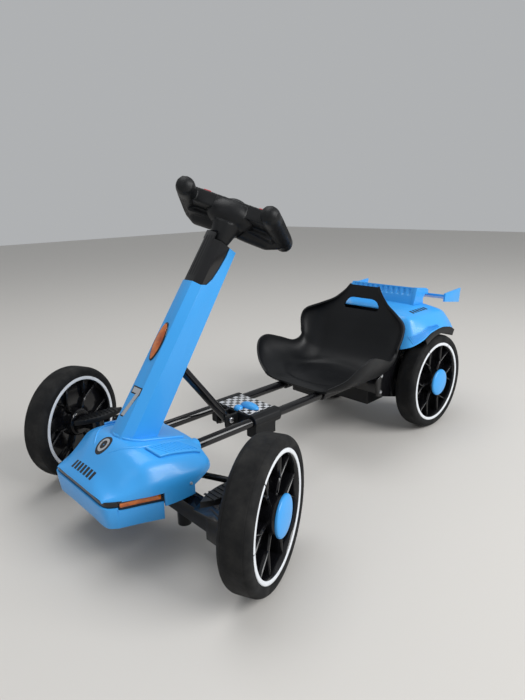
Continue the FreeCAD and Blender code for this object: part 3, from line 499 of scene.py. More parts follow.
def placed(obj, matrix):
    """Puts a mesh in its place, in millimetres, with the object left at the origin."""
    scale = Matrix.Scale(MM, 4) @ matrix @ Matrix.Scale(1 / MM, 4)
    obj.data.transform(scale)
    obj.data.update()
    return obj


ABOUT_AXIS = round_tree()
ALONG_LINE = row_tree()

# %% [markdown]
# ## Materials
# The kart has few finishes: glossy sky blue moulding, satin black moulding with a fine grain, black gloss,
# black powder paint on the tubes, foam rubber, zinc bolts and amber lenses. Each is a Principled shader
# whose roughness, colour and bump come from noise at the real scale, so that light breaks up on it as on a
# moulded toy. The noise reads Object coordinates, which are metres on every piece, so a noise scale counts
# the bumps in a metre and a bump's distance is its height in metres.

# %% Material helpers
COAT_ROUGHNESS = 0.08


def shader(name, colour, roughness, metallic=0.0, coat=0.0, specular=0.5):
    material = bpy.data.materials.new(name)
    material.use_nodes = True
    tree = material.node_tree
    main = tree.nodes["Principled BSDF"]
    main.inputs["Base Color"].default_value = (*colour, 1)
    main.inputs["Roughness"].default_value = roughness
    main.inputs["Metallic"].default_value = metallic
    main.inputs["Coat Weight"].default_value = coat
    main.inputs["Coat Roughness"].default_value = COAT_ROUGHNESS
    main.inputs["Specular IOR Level"].default_value = specular
    return material, tree, main


def node(tree, kind, **values):
    made = tree.nodes.new(kind)
    for key, value in values.items():
        made.inputs[key].default_value = value
    return made


def coordinates(tree):
    return tree.nodes.new("ShaderNodeTexCoord").outputs["Object"]


def noise(tree, scale, detail=4.0, rough=0.55):
    made = node(tree, "ShaderNodeTexNoise", Scale=scale, Detail=detail, Roughness=rough)
    tree.links.new(coordinates(tree), made.inputs["Vector"])
    return made.outputs["Fac"]


def spread(tree, source, low, high, from_low=0.3, from_high=0.7):
    """Maps a 0 to 1 pattern onto a range of values."""
    made = node(tree, "ShaderNodeMapRange")
    tree.links.new(source, made.inputs["Value"])
    made.inputs["From Min"].default_value = from_low
    made.inputs["From Max"].default_value = from_high
    made.inputs["To Min"].default_value = low
    made.inputs["To Max"].default_value = high
    return made.outputs["Result"]


# The Mix node's sockets for the factor, the two colours and the mixed colour.
MIX_FACTOR, MIX_FIRST, MIX_SECOND, MIX_RESULT = 0, 6, 7, 2


def blend_colours(tree, factor, first, second):
    made = tree.nodes.new("ShaderNodeMix")
    made.data_type = "RGBA"
    tree.links.new(factor, made.inputs[MIX_FACTOR])
    made.inputs[MIX_FIRST].default_value = (*first, 1)
    made.inputs[MIX_SECOND].default_value = (*second, 1)
    return made.outputs[MIX_RESULT]


def bump(tree, main, height, strength, distance):
    made = node(tree, "ShaderNodeBump", Strength=strength, Distance=distance)
    tree.links.new(height, made.inputs["Height"])
    tree.links.new(made.outputs["Normal"], main.inputs["Normal"])


# %% [markdown]
# ### Blue moulding
# The blue parts are injection moulded and glossy, with the faint waviness that a moulded skin has and a
# little dust that dulls the gloss in patches.

# %% Blue moulding
SKY_BLUE = (0.04, 0.35, 0.83)
blue, tree, main = shader("blue_moulding", SKY_BLUE, 0.34, coat=0.15)
tree.links.new(spread(tree, noise(tree, 14.0), 0.29, 0.41), main.inputs["Roughness"])
tint = blend_colours(tree, noise(tree, 5.0, 2.0), (0.036, 0.33, 0.79), (0.044, 0.37, 0.86))
tree.links.new(tint, main.inputs["Base Color"])
bump(tree, main, noise(tree, 160.0, 2.0), 0.05, 0.0006)

# %% [markdown]
# ### Black finishes
# The seat, the yoke and the small covers are black with a fine moulded grain. The tubes are powder coated,
# which shows as a slight orange peel under a bright streak. The rims and the column's insert are smooth
# and glossy.

# %% Black finishes
BLACK, SEAT_BLACK = (0.0052, 0.0058, 0.0068), (0.0048, 0.0054, 0.0066)


def grained(name, colour, rough_low, rough_high, grain_scale, grain_height, specular=0.28):
    made, tree, main = shader(name, colour, rough_high, specular=specular)
    tree.links.new(spread(tree, noise(tree, 22.0), rough_low, rough_high), main.inputs["Roughness"])
    lighter = tuple(c * 1.7 + 0.001 for c in colour)
    dust = spread(tree, noise(tree, 9.0, 5.0), 0.0, 0.5, 0.45, 0.75)
    tree.links.new(blend_colours(tree, dust, colour, lighter), main.inputs["Base Color"])
    bump(tree, main, noise(tree, grain_scale, 3.0), 0.35, grain_height)
    return made


black_satin = grained("black_satin", BLACK, 0.38, 0.52, 1400.0, 0.00012)
seat_black = grained("seat_black", SEAT_BLACK, 0.36, 0.50, 900.0, 0.00016)
black_paint = grained("black_paint", (0.005, 0.005, 0.006), 0.09, 0.19, 420.0, 0.00005, 0.5)

black_gloss, tree, main = shader("black_gloss", (0.004, 0.004, 0.005), 0.14, coat=0.35, specular=0.35)
tree.links.new(spread(tree, noise(tree, 30.0), 0.10, 0.24), main.inputs["Roughness"])
bump(tree, main, noise(tree, 120.0, 2.0), 0.04, 0.0005)

# %% [markdown]
# ### Rubber, ring, lamp, metal
# The tyres are smooth foam rubber with floor dust in the pores. The white ring is a satin moulding. The
# lamps are amber with ribs in the bump, coloured in patches of painted light and shade that stand in for a
# clear lens over a reflector. The bolts are zinc plated.

# %% Rubber, ring, lamp, metal
rubber, tree, main = shader("foam_rubber", (0.012, 0.012, 0.013), 0.75, specular=0.2)
dust = spread(tree, noise(tree, 26.0, 8.0, 0.65), 0.0, 0.8, 0.45, 0.8)
dusty = blend_colours(tree, dust, (0.0085, 0.0088, 0.0095), (0.034, 0.033, 0.031))
tree.links.new(dusty, main.inputs["Base Color"])
tree.links.new(spread(tree, noise(tree, 40.0), 0.62, 0.9), main.inputs["Roughness"])
bump(tree, main, noise(tree, 1100.0, 4.0), 0.5, 0.00025)

white_ring, tree, main = shader("white_ring", (0.76, 0.79, 0.83), 0.35)
grime = spread(tree, noise(tree, 60.0, 6.0), 0.0, 0.5, 0.5, 0.8)
handled = blend_colours(tree, grime, (0.78, 0.81, 0.85), (0.55, 0.56, 0.58))
tree.links.new(handled, main.inputs["Base Color"])
bump(tree, main, noise(tree, 300.0, 2.0), 0.05, 0.0003)

amber, tree, main = shader("amber_lens", (0.72, 0.17, 0.012), 0.12, coat=0.8)
flute = node(tree, "ShaderNodeTexWave", Scale=55.0, Distortion=0.0)
flute.bands_direction = "X"
tree.links.new(coordinates(tree), flute.inputs["Vector"])
# Painted light and shade: patches of lighter and darker amber stand in for light inside a clear lens over a
# reflector.
lens_light_shade_mask = spread(tree, noise(tree, 45.0), 0.0, 1.0)
painted_lens_light = blend_colours(tree, lens_light_shade_mask, (0.78, 0.2, 0.012), (0.30, 0.045, 0.004))
tree.links.new(painted_lens_light, main.inputs["Base Color"])
bump(tree, main, flute.outputs["Fac"], 0.25, 0.0006)

red, tree, main = shader("red_button", (0.42, 0.012, 0.02), 0.35)
bump(tree, main, noise(tree, 500.0), 0.1, 0.0002)

zinc, tree, main = shader("zinc", (0.62, 0.63, 0.65), 0.3, metallic=1.0)
tree.links.new(spread(tree, noise(tree, 90.0, 6.0), 0.22, 0.45), main.inputs["Roughness"])
bump(tree, main, noise(tree, 700.0), 0.12, 0.0001)

FINISH = {"tyre": rubber, "rim_black": black_gloss, "white_ring": white_ring, "blue_plastic": blue,
          "black_paint": black_paint, "bolt_steel": zinc, "amber_lens": amber, "red_button": red,
          "gloss_black": black_gloss, "black_plastic": black_satin}
print("finishes:", sorted(FINISH))

# %% [markdown]
# ## Nose
# The nose is one glossy skin. It is highest round the steering column, a ribbed pad lies on each side, and
# its front edge curls down to the lamp strip. It could be sculpted, but sections keep it symmetric and at
# its size. The low parts that stay open for the bumper and the frame are cut out of it afterwards.

# %% Nose skin
NOSE_X, NOSE_Z = FRONT_AXLE_X, AXLE_Z
# Each section across the nose, from the rear: how far ahead of the axle it is and the height of its crown,
# then half width and height of its crease, its shoulder and its edge.
NOSE_SECTIONS = [
    (-49, 4, 41, 4, 63, 3, 84, 3), (-46.5, 31, 42, 30, 66, 22, 88, 9),
    (-37, 37, 45, 35, 75, 26, 97, 11), (-15, 43, 50, 41, 85, 30, 106, 11), (25, 52, 56, 49, 90, 37, 107, 12),
    (60, 57, 54, 53, 85, 39, 101, 13), (80, 48, 42, 46, 76, 31, 94, 11), (104, 26, 28, 25, 68, 15, 85, 6.5),
    (120, 11, 38, 10.5, 62, 8, 75, 5.5), (124, 6.5, 40, 6, 61, 5.5, 72, 4.5)]
NOSE_WALL, NOSE_FOOT, NOSE_ROUNDING, NOSE_COLUMNS = 3.0, -20.0, 0.27, 150
CUT_HALF = 130.0
LOW_FRONT = [(46, -40), (46, 1.2), (128, 5.2), (128, -40)]
LOW_REAR = [(-60, -45), (-4, -45), (-4, -5), (-22, 1), (-60, 5)]


def nose_row(row):
    ahead, crown_z, crease_y, crease_z, shoulder_y, shoulder_z, edge_y, edge_z = row
    half = [(0, crown_z), (crease_y, crease_z), (shoulder_y, shoulder_z), (edge_y, edge_z),
            (edge_y, NOSE_FOOT)]
    line = [(-y, z) for y, z in reversed(half[1:])] + half
    points = [(NOSE_X + ahead, y, NOSE_Z + z) for y, z in line]
    return filled(rounded(points, NOSE_ROUNDING), NOSE_COLUMNS)


nose = skin("nose_skin", [nose_row(row) for row in curve_through(NOSE_SECTIONS, 9)], NOSE_WALL)
for outline in (LOW_FRONT, LOW_REAR):
    cut(nose, [(NOSE_X + x, -CUT_HALF, NOSE_Z + z) for x, z in outline], (0, 2 * CUT_HALF, 0))
bevel(nose, 0.9, 2, 50)
apply_all(nose)
smooth(nose, 42)
print("nose faces:", len(nose.data.polygons))

# %% Nose pads, rim and bosses
# Outlines and lines seen from above, as distance ahead of the axle and to the side.
PAD_PLAN = [(46, 60), (36, 84), (-36, 84), (-14, 57)]
RIM_PLAN = [(-34, 42), (5, 41), (38, 36), (53, 22), (59, 0)]
# A raised crease runs from the crown back along the inner edge of each pad.
CREASE_PLAN = [(84, 22), (70, 38), (52, 52), (20, 55), (-14, 52), (-38, 50)]
DOWN, OVER_NOSE = (0, 0, -1), 200.0
PAD_HEIGHT, PAD_EDGE, RIB_HEIGHT = 4.4, 2.6, 5.5
# The ribs on a pad, as shares of its length, apart from their margin, a share of its width.
RIBS, RIB_FIRST, RIB_PITCH, RIB_SLANT, RIB_WIDTH, RIB_MARGIN = 9, 0.07, 0.092, 0.13, 0.035, 0.14
RIM_R, RIM_LIFT = 2.4, 0.6
CREASE_R, CREASE_RISE, CREASE_SUNK = 2.6, 1.6, 2.3
BOSS_X, BOSS_PROFILE = 266.0, [(8.7, 0), (11.0, 0), (12.2, 1.5), (13.4, 12), (8.7, 12)]


def pad_corner(u, v, side):
    """A place on the pad: u along it from its front, v out from its inner edge."""
    a, b, c, d = [Vector((x, side * y, 0)) for x, y in PAD_PLAN]
    flat = a.lerp(d, u).lerp(b.lerp(c, u), v)
    return (NOSE_X + flat.x, flat.y, OVER_NOSE)


pads, ribs = [], []
for side in (-1, 1):
    pads.append([pad_corner(0.0, 0.0, side), pad_corner(1.0, 0.0, side), pad_corner(1.0, 1.0, side),
                 pad_corner(0.0, 1.0, side)])
    for k in range(RIBS):
        start = RIB_FIRST + RIB_PITCH * k
        end, outer = start + RIB_SLANT, 1 - RIB_MARGIN
        corners = ((start, RIB_MARGIN), (end, outer),
                   (end + RIB_WIDTH, outer), (start + RIB_WIDTH, RIB_MARGIN))
        ribs.append([pad_corner(u, v, side) for u, v in corners])
nose_pads = patches("nose_pads", nose, pads, DOWN, PAD_HEIGHT, columns=24)
bevel(nose_pads, PAD_EDGE, 4, 50)
apply_all(nose_pads)
smooth(nose_pads, 40)
nose_ribs = patches("nose_pad_ribs", nose, ribs, DOWN, RIB_HEIGHT, crown=True, columns=8)

nose_tree = tree_of(nose)
rim_half = [Vector(p).to_3d() for p in curve_through(RIM_PLAN, 8)]
rim_path = rim_half + [Vector((p.x, -p.y, 0)) for p in reversed(rim_half[:-1])]
rim_path = [landed(nose_tree, (NOSE_X + p.x, p.y, OVER_NOSE), DOWN, RIM_LIFT) for p in rim_path]
nose_rim = bead("nose_rim", rim_path, RIM_R, closed=False)
creases = []
for side in (-1, 1):
    line = curve_through([(x, side * y) for x, y in CREASE_PLAN], 8)
    path = []
    for k, (x, y) in enumerate(line):
        swell = math.sin(math.pi * k / (len(line) - 1)) ** 0.7
        lift = CREASE_RISE * swell - CREASE_SUNK
        path.append(landed(nose_tree, (NOSE_X + x, y, OVER_NOSE), DOWN, lift))
    creases.append(bead("crease", path, CREASE_R, closed=False))
nose_creases = join("nose_creases", creases)
smooth(nose_creases, 60)
bosses = []
for side in (-1, 1):
    bosses.append(lathe("boss", BOSS_PROFILE, facing((BOSS_X, side * TUBE_Y, TUBE_Z), (1, 0, 0)), 40))
boss = join("nose_bosses", bosses)
smooth(boss, 40)
settle(nose, "chassis", blue, ["nose_shell"])
for piece in (nose_pads, nose_ribs, nose_rim, nose_creases, boss):
    settle(piece, "chassis", blue)
print("nose pieces: skin, pads, ribs, rim, creases, bosses")

# %% [markdown]
# Under the front edge a dark strip runs round the nose, taller along the sides, where it frames an amber
# lens. Below it hangs the blue bumper. All three follow one path in plan and differ in height and set-back.

# %% Bumper, strip and lenses
# Each point of the path: x and y, then the heights of the nose's edge, the bumper's top and its foot.
FRONT_PATH = [(47, 102.5, 1.2, -13, -42), (76, 94, 2.6, -10.5, -39), (105, 86.8, 4.2, -7.6, -36),
              (109, 85.6, 4.4, -3, -35.5), (114, 84, 4.6, -2.4, -35), (123.5, 74, 5, -1.6, -33.5),
              (124, 37, 5, -1.2, -32.5)]
EDGE, TOP, FOOT = 2, 3, 4
# A level of a band: the two heights that it lies midway between, how far above that, its set-back in percent.
BUMPER_LEVELS = [(FOOT, FOOT, 0.0, 3.0), (TOP, FOOT, 0.0, 1.0), (TOP, TOP, 0.0, 0.0)]
STRIP_LEVELS = [(TOP, TOP, -1.5, 0.0), (EDGE, EDGE, 1.0, 0.0)]
LENS_LEVELS = [(TOP, TOP, 2.2, 0.4), (EDGE, TOP, 0.0, -0.8), (EDGE, EDGE, -0.4, 0.2)]
BUMPER_INSET, STRIP_INSET, LENS_INSET, BACK_ALONG = 0.0, 2.2, 1.4, 0.8
BAND_WALL, LENS_WALL, LENS_REAR, LENS_FRONT = 3.0, 2.0, 49.0, 108.0
path_half = curve_through(FRONT_PATH, 6)
path_full = path_half + [[x, -y, a, b, c] for x, y, a, b, c in reversed(path_half)]


def front_band(name, rows, levels, inset, wall):
    """A wall along part of the path, drawn at a few levels."""
    out = []
    for first, second, above, back in levels:
        share = (inset + back) / 100
        line = []
        for row in rows:
            height = (row[first] + row[second]) / 2 + above
            x, y = row[0] * (1 - share * BACK_ALONG), row[1] * (1 - share)
            line.append(Vector((NOSE_X + x, y, NOSE_Z + height)))
        out.append(line)
    piece = skin(name, out, wall)
    bevel(piece, 0.7, 2, 50)
    apply_all(piece)
    smooth(piece, 40)
    return piece


bumper = front_band("bumper_skin", path_full, BUMPER_LEVELS, BUMPER_INSET, BAND_WALL)
settle(bumper, "chassis", blue, ["nose_bumper"])
strip = front_band("lamp_strip_skin", path_full, STRIP_LEVELS, STRIP_INSET, BAND_WALL)
settle(strip, "chassis", black_gloss, ["lamp_strip"])
lens_rows = [row for row in path_half if LENS_REAR < row[0] < LENS_FRONT]
lenses = []
for side in (-1, 1):
    rows = [[x, side * y, a, b, c] for x, y, a, b, c in lens_rows]
    lenses.append(front_band("lens", rows, LENS_LEVELS, LENS_INSET, LENS_WALL * side))
lens = join("nose_lenses", lenses)
turn_out(lens)
smooth(lens, 40)
settle(lens, "chassis", amber, ["nose_lamps"])
print("front bands: bumper, strip and", len(lenses), "lenses")

# %% [markdown]
# A plain ring and a row of slanted dashes lie on the nose. They are thin film, so they are draped over the
# skin and stand off it by a fraction of a millimetre.

# %% Nose film
film, tree, main = shader("black_film", (0.012, 0.012, 0.014), 0.35)
tree.links.new(spread(tree, noise(tree, 70.0), 0.28, 0.45), main.inputs["Roughness"])
silver, tree, main = shader("silver_film", (0.55, 0.57, 0.6), 0.3, metallic=0.7)
tree.links.new(spread(tree, noise(tree, 90.0), 0.22, 0.4), main.inputs["Roughness"])
FILM_LIFT, RING_LIFT, BADGE_AHEAD, BADGE_WEDGES = 0.3, 0.5, 79.0, 24
DASHES, DASH_FIRST, DASH_PITCH, DASH_WIDTH, DASH_SLANT = 7, 24.0, 9.4, 5.6, 2.6
DASH_FRONT, DASH_REAR = NOSE_X + 117.0, NOSE_X + 107.0
dashes = []
for k in range(DASHES):
    y = DASH_FIRST - DASH_PITCH * k
    rear_y = y + DASH_SLANT
    dashes.append([(DASH_FRONT, y, OVER_NOSE), (DASH_REAR, rear_y, OVER_NOSE),
                   (DASH_REAR, rear_y - DASH_WIDTH, OVER_NOSE), (DASH_FRONT, y - DASH_WIDTH, OVER_NOSE)])
nose_dashes = patches("nose_dashes", nose, dashes, DOWN, FILM_LIFT, columns=4)
settle(nose_dashes, "chassis", film)


def badge(name, radius, hole, lift, material):
    """A flat ring on the nose, as wedges that follow the skin."""
    rows = []
    for k in range(BADGE_WEDGES):
        a, b = [2 * math.pi * m / BADGE_WEDGES for m in (k, k + 1)]
        rows.append([(NOSE_X + BADGE_AHEAD + r * math.cos(t), r * math.sin(t), OVER_NOSE)
                     for r, t in ((hole, a), (radius, a), (radius, b), (hole, b))])
    piece = patches(name, nose, rows, DOWN, lift, columns=3)
    settle(piece, "chassis", material)


badge("nose_badge", 13.5, 1.0, FILM_LIFT, film)
badge("nose_badge_ring", 9.5, 6.0, RING_LIFT, silver)
print("nose dashes:", DASHES)

# %% [markdown]
# ## Bucket seat
# The seat is a single moulded bucket that sweeps from the front lip through the pan and up to the backrest.
# Its sections stand at right angles to that sweep: a flat middle with a side that curls up. A shallow oval
# is pressed into the pan, and the handle hole is cut last.

# %% Seat
SEAT_X, SEAT_Z = REAR_AXLE_X, TUBE_Z
# Each section: its place ahead and its height, its lean in degrees, its half width, how far its side rises
# and the half width of its flat middle.
SEAT_SECTIONS = [
    (296.0, 13.0, 14.0, 84.0, 12.0, 46.0), (282.0, 15.5, 8.0, 118.0, 32.0, 62.0),
    (262.0, 15.5, 5.0, 138.0, 60.0, 64.0), (235.0, 17.0, 4.0, 142.0, 68.0, 70.0),
    (200.0, 17.0, 2.0, 137.0, 57.0, 72.0), (160.0, 19.0, 4.0, 129.0, 41.0, 74.0),
    (128.0, 34.0, 15.0, 127.0, 36.0, 76.0), (108.0, 64.0, 55.0, 129.0, 34.0, 78.0),
    (95.0, 99.0, 74.0, 134.0, 37.0, 80.0), (89.0, 120.0, 78.0, 128.0, 33.0, 78.0),
    (84.0, 136.0, 78.0, 100.0, 18.0, 66.0), (79.0, 152.0, 78.0, 70.0, 8.0, 52.0),
    (74.0, 172.0, 78.0, 48.0, 3.0, 38.0), (70.0, 188.0, 78.0, 36.0, 1.5, 28.0)]
SEAT_WALL, SEAT_COLUMNS, FLAT_SHARE = 4.0, 26, 0.4
RECESS_X, RECESS_HALF_LEN, RECESS_HALF_W, RECESS_DEPTH = 205.0, 64.0, 98.0, 3.6
RECESS_EDGE, PAN_LEAN_DEG = 26, 12
HANDLE_HOLE = [(43, 136), (47, 141), (45.5, 147), (40, 155), (33, 159.5), (24, 161)]


def seat_row(row):
    x, z, lean_deg, half, rise, flat = row
    lean = math.radians(lean_deg)
    line = []
    for k in range(-SEAT_COLUMNS, SEAT_COLUMNS + 1):
        share = abs(k) / SEAT_COLUMNS
        if share < FLAT_SHARE:
            y, up = flat * share / FLAT_SHARE, 0.0
        else:
            bend = math.radians(90) * (share - FLAT_SHARE) / (1 - FLAT_SHARE)
            y, up = flat + (half - flat) * math.sin(bend), rise * (1 - math.cos(bend))
        y = math.copysign(y, k)
        oval = ((x - RECESS_X) / RECESS_HALF_LEN) ** 2 + (y / RECESS_HALF_W) ** 2
        if lean_deg < PAN_LEAN_DEG:
            up -= RECESS_DEPTH / (1 + math.exp(RECESS_EDGE * (oval - 1)))
        line.append(Vector((SEAT_X + x + math.sin(lean) * up, y, SEAT_Z + z + math.cos(lean) * up)))
    return line


seat = skin("seat_bucket", [seat_row(row) for row in curve_through(SEAT_SECTIONS, 8)], SEAT_WALL)
hole = HANDLE_HOLE + [(-y, z) for y, z in reversed(HANDLE_HOLE)]
cut(seat, [(SEAT_X - 20, y, SEAT_Z + z) for y, z in hole], (180, 0, 0))
bevel(seat, 1.5, 3, 45)
apply_all(seat)
smooth(seat, 40)
settle(seat, "chassis", seat_black, ["seat_shell"])
print("seat faces:", len(seat.data.polygons))

# %% [markdown]
# ## Rear cover
# The cover is a deck with flared sides. Its lower edge rises into an arch over each rear wheel, and its
# front is cut away where the seat's back stands. A hatched strip follows the front of each arch. The cover is
# lofted as the nose is, and its rear wall hangs from the last section.

# %% Rear cover
COVER_X, COVER_Z = REAR_AXLE_X, 210.0
# Each section: how far ahead its lower edge and its top are, then half width and height of its lower edge,
# its shoulder and its deck.
COVER_SECTIONS = [
    (112.0, 95.0, 117.0, -14.0, 117.0, 46.0, 88.0, 57.0), (98.0, 86.0, 141.0, -7.0, 127.0, 50.0, 90.0, 59.0),
    (70.0, 70.0, 152.0, 4.0, 130.0, 51.0, 90.0, 60.0), (44.0, 44.0, 155.0, 16.0, 131.0, 52.0, 90.0, 61.0),
    (2.0, 2.0, 156.0, 21.0, 131.0, 52.0, 90.0, 61.0), (-30.0, -30.0, 154.0, 16.0, 130.0, 51.0, 88.0, 60.0),
    (-64.0, -50.0, 147.0, 7.0, 127.0, 47.0, 86.0, 56.0)]
SEAT_ROOM = [(170, 123), (110, 123), (97.5, 106), (84.5, 84), (77, 62)]
REAR_WALL_STEPS = (0.05, 0.3, 0.65, 1.0)
COVER_WALL, COVER_ROUNDING, COVER_COLUMNS = 3.0, 0.3, 130


def cover_row(row):
    low_x, top_x, low_y, low_z, edge_y, edge_z, deck_y, deck_z = row
    lean = (top_x - low_x) / (edge_z - low_z)
    half = [(deck_y * 0.4, deck_z + 2), (deck_y, deck_z), (edge_y, edge_z),
            (0.55 * low_y + 0.45 * edge_y + 3, 0.6 * low_z + 0.4 * edge_z), (low_y, low_z)]
    line = [(-y, z) for y, z in reversed(half)] + half
    points = [(COVER_X + low_x + lean * (z - low_z), y, COVER_Z + z) for y, z in line]
    return filled(rounded(points, COVER_ROUNDING), COVER_COLUMNS)


cover_rows = [cover_row(row) for row in curve_through(COVER_SECTIONS, 9)]
last_row = cover_rows[-1]
foot_z = last_row[0].z + 1.0
for step in REAR_WALL_STEPS:
    lowered = []
    for p in last_row:
        down = max(p.z - foot_z, 0.0) * step
        lowered.append(Vector((p.x - 0.35 * down, p.y * (1 - 0.01 * step), p.z - down)))
    cover_rows.append(lowered)
cover = skin("rear_cover", cover_rows, COVER_WALL)
cut(cover, [(COVER_X + x, y, COVER_Z - 60) for x, y in mirrored(SEAT_ROOM)], (0, 0, 160))
bevel(cover, 1.0, 2, 42)
apply_all(cover)
smooth(cover, 36)
settle(cover, "chassis", blue, ["rear_shell"])

# %% Cover strips and dashes
# The arch's edge as distance ahead of the axle and height, from the front to the top.
ARCH_EDGE = [(section[0], section[3]) for section in COVER_SECTIONS[:5]]
HATCH_RIBS, HATCH_PITCH, HATCH_FRONT, HATCH_BESIDE = 30, 2.8, 94.0, 190.0
FLANK_DASHES, FLANK_FRONT, FLANK_PITCH, FLANK_ABOVE = 6, 58.0, 10.5, 330.0


def arch_height(x):
    for (x0, z0), (x1, z1) in zip(ARCH_EDGE, ARCH_EDGE[1:]):
        if x >= x1:
            return z0 + (z1 - z0) * (x0 - x) / (x0 - x1)
    return ARCH_EDGE[-1][1]


cover_tree = tree_of(cover)
hatch_pieces = []
for side in (-1, 1):
    hatch, border = [], []
    for k in range(HATCH_RIBS):
        x = HATCH_FRONT - HATCH_PITCH * k
        low = arch_height(x) + 3.0
        high = low + 15.0 - 0.34 * k
        hatch.append([(COVER_X + a, side * HATCH_BESIDE, COVER_Z + z)
                      for a, z in ((x, low), (x + 4.5, high), (x + 3.1, high), (x - 1.4, low))])
        edge = (COVER_X + x + 4.0, side * HATCH_BESIDE, COVER_Z + high + 1.0)
        border.append(landed(cover_tree, edge, (0, -side, 0), 0.2))
    hatch_pieces.append(patches("hatch", cover, hatch, (0, -side, 0), 1.1, crown=True, columns=5))
    hatch_pieces.append(bead("border", border, 1.0, closed=False))
cover_hatch = join("cover_hatch", hatch_pieces)
smooth(cover_hatch, 40)
settle(cover_hatch, "chassis", blue)
flank = []
for side in (-1, 1):
    for k in range(FLANK_DASHES):
        x = COVER_X + FLANK_FRONT - FLANK_PITCH * k
        flank.append([(x + back, side * y, FLANK_ABOVE)
                      for back, y in ((0, 118), (-6.5, 118), (-8.5, 106), (-2.0, 106))])
cover_dashes = patches("cover_dashes", cover, flank, DOWN, FILM_LIFT, columns=4)
settle(cover_dashes, "chassis", film)
print("cover faces:", len(cover.data.polygons))

# %% [markdown]
# Under the cover a black liner arches over each tyre. Its outer flange closes the space up to the cover's
# edge. A part turn on the lathe gives it, with the tyre's axis as its own.

# %% Arch liners
LINER_PROFILE = [(110.5, 104), (110.5, 153), (125.5, 153), (125.5, 150), (114, 150), (114, 104)]
LINER_START, LINER_END = 60.0, 120.0
liners = []
for side in (-1, 1):
    turn = Matrix(((1, 0, 0), (0, 0, side), (0, 1, 0))).to_4x4()
    stand = Matrix.Translation((REAR_AXLE_X, 0, AXLE_Z)) @ turn
    liners.append(lathe("liner", LINER_PROFILE, stand, 44, LINER_START, LINER_END))
liner_piece = join("arch_liner_pair", liners)
bevel(liner_piece, 1.0, 2, 50)
apply_all(liner_piece)
turn_out(liner_piece)
smooth(liner_piece, 40)
settle(liner_piece, "chassis", black_satin, ["arch_liners"])
print("liner faces:", len(liner_piece.data.polygons))

# %% [markdown]
# The wing, its arms and the hump are a CAD solid. The blade is cut out of a copy, and a thin cambered one
# goes in. The hump's front wall is cut out too and drawn anew as a skin with soft scoops under its top edge,
# which a boolean would leave hard.

# %% Rear wing
BLADE = [(-374, 290), (-380, 288.5), (-392, 282.5), (-412, 276.5), (-430, 275), (-443, 277), (-443, 274),
         (-430, 271.5), (-412, 273), (-392, 278.5), (-380, 284.5), (-374, 285.5)]
BLADE_HALF, WALL_ROOM_HALF = 127.0, 78.5
BLADE_ROOM = [(-373, -125.8), (-373, 125.8), (-460, 125.8), (-460, -125.8)]
WALL_ROOM = [(-300, 258), (-319, 310), (-333, 310), (-316, 258)]
wing = cad_copy("rear_wing", "wing_and_hump")
cut(wing, [(x, y, 320) for x, y in BLADE_ROOM], (0, 0, -60))
cut(wing, [(x, -WALL_ROOM_HALF, z) for x, z in WALL_ROOM], (0, 2 * WALL_ROOM_HALF, 0))
blade_sides = [[(x, y, z) for x, z in BLADE] for y in (-BLADE_HALF, BLADE_HALF)]
blade_piece = prism("blade", *blade_sides)
wing = join("wing_and_hump", [wing, blade_piece])
bevel(wing, 1.2, 3, 35)
apply_all(wing)
smooth(wing, 40)
settle(wing, "chassis", blue, ["rear_wing"])

# %% Hump wall
HUMP_TOP, HUMP_DOWN, HUMP_HALF = Vector((-324, 0, 308)), Vector((0.3315, 0, -0.9435)), 80.0
HUMP_BACK = Vector((-0.9435, 0, -0.3315))
SCOOPS, SCOOP_PITCH, SCOOP_WIDTH, SCOOP_DEPTH = 11, 14.0, 11.0, 2.8
SCOOP_TOP, SCOOP_FOOT = 3.0, 18.0
# The wall's rows are closer where the scoops are.
FINE_ROWS, FINE_STEP, COARSE_ROWS, COARSE_STEP, HALF_COLUMNS = 18, 1.25, 14, 2.0, 80
HUMP_WALL = -4.0


def scoop(y, s):
    """How deep the wall is pressed in at a place across it, s below its top edge."""
    nearest = round(y / SCOOP_PITCH) * SCOOP_PITCH
    if abs(nearest) > SCOOP_PITCH * (SCOOPS // 2) or not SCOOP_TOP < s < SCOOP_FOOT:
        return 0.0
    across = max(0.0, math.cos(math.pi * (y - nearest) / SCOOP_WIDTH))
    along = math.sin(math.pi * (s - SCOOP_TOP) / (SCOOP_FOOT - SCOOP_TOP))
    return SCOOP_DEPTH * across ** 1.5 * along ** 0.5


wall_rows = []
for k in range(FINE_ROWS + COARSE_ROWS):
    s = FINE_STEP * min(k, FINE_ROWS) + COARSE_STEP * max(k - FINE_ROWS, 0)
    line = []
    for j in range(-HALF_COLUMNS, HALF_COLUMNS + 1):
        y = HUMP_HALF * j / HALF_COLUMNS
        line.append(HUMP_TOP + HUMP_DOWN * s + Vector((0, y, 0)) + HUMP_BACK * scoop(y, s))
    wall_rows.append(line)
hump_wall = skin("hump_wall", wall_rows, HUMP_WALL)
bevel(hump_wall, 1.0, 2, 62)
apply_all(hump_wall)
smooth(hump_wall, 60)
settle(hump_wall, "chassis", blue)
print("wing faces:", len(wing.data.polygons), "hump wall faces:", len(hump_wall.data.polygons))

# %% [markdown]
# ## Wheels
# A wheel is a foam tyre on a black rim with six forked spokes before a closed dark disc, a thin white ring in
# two arcs on each face, and a domed cap that stands out past the ring. Round parts are turned on a lathe,
# which gives them true edges. The spokes are one forked arm with a narrow ridge, and Geometry Nodes copies it
# about the axle.

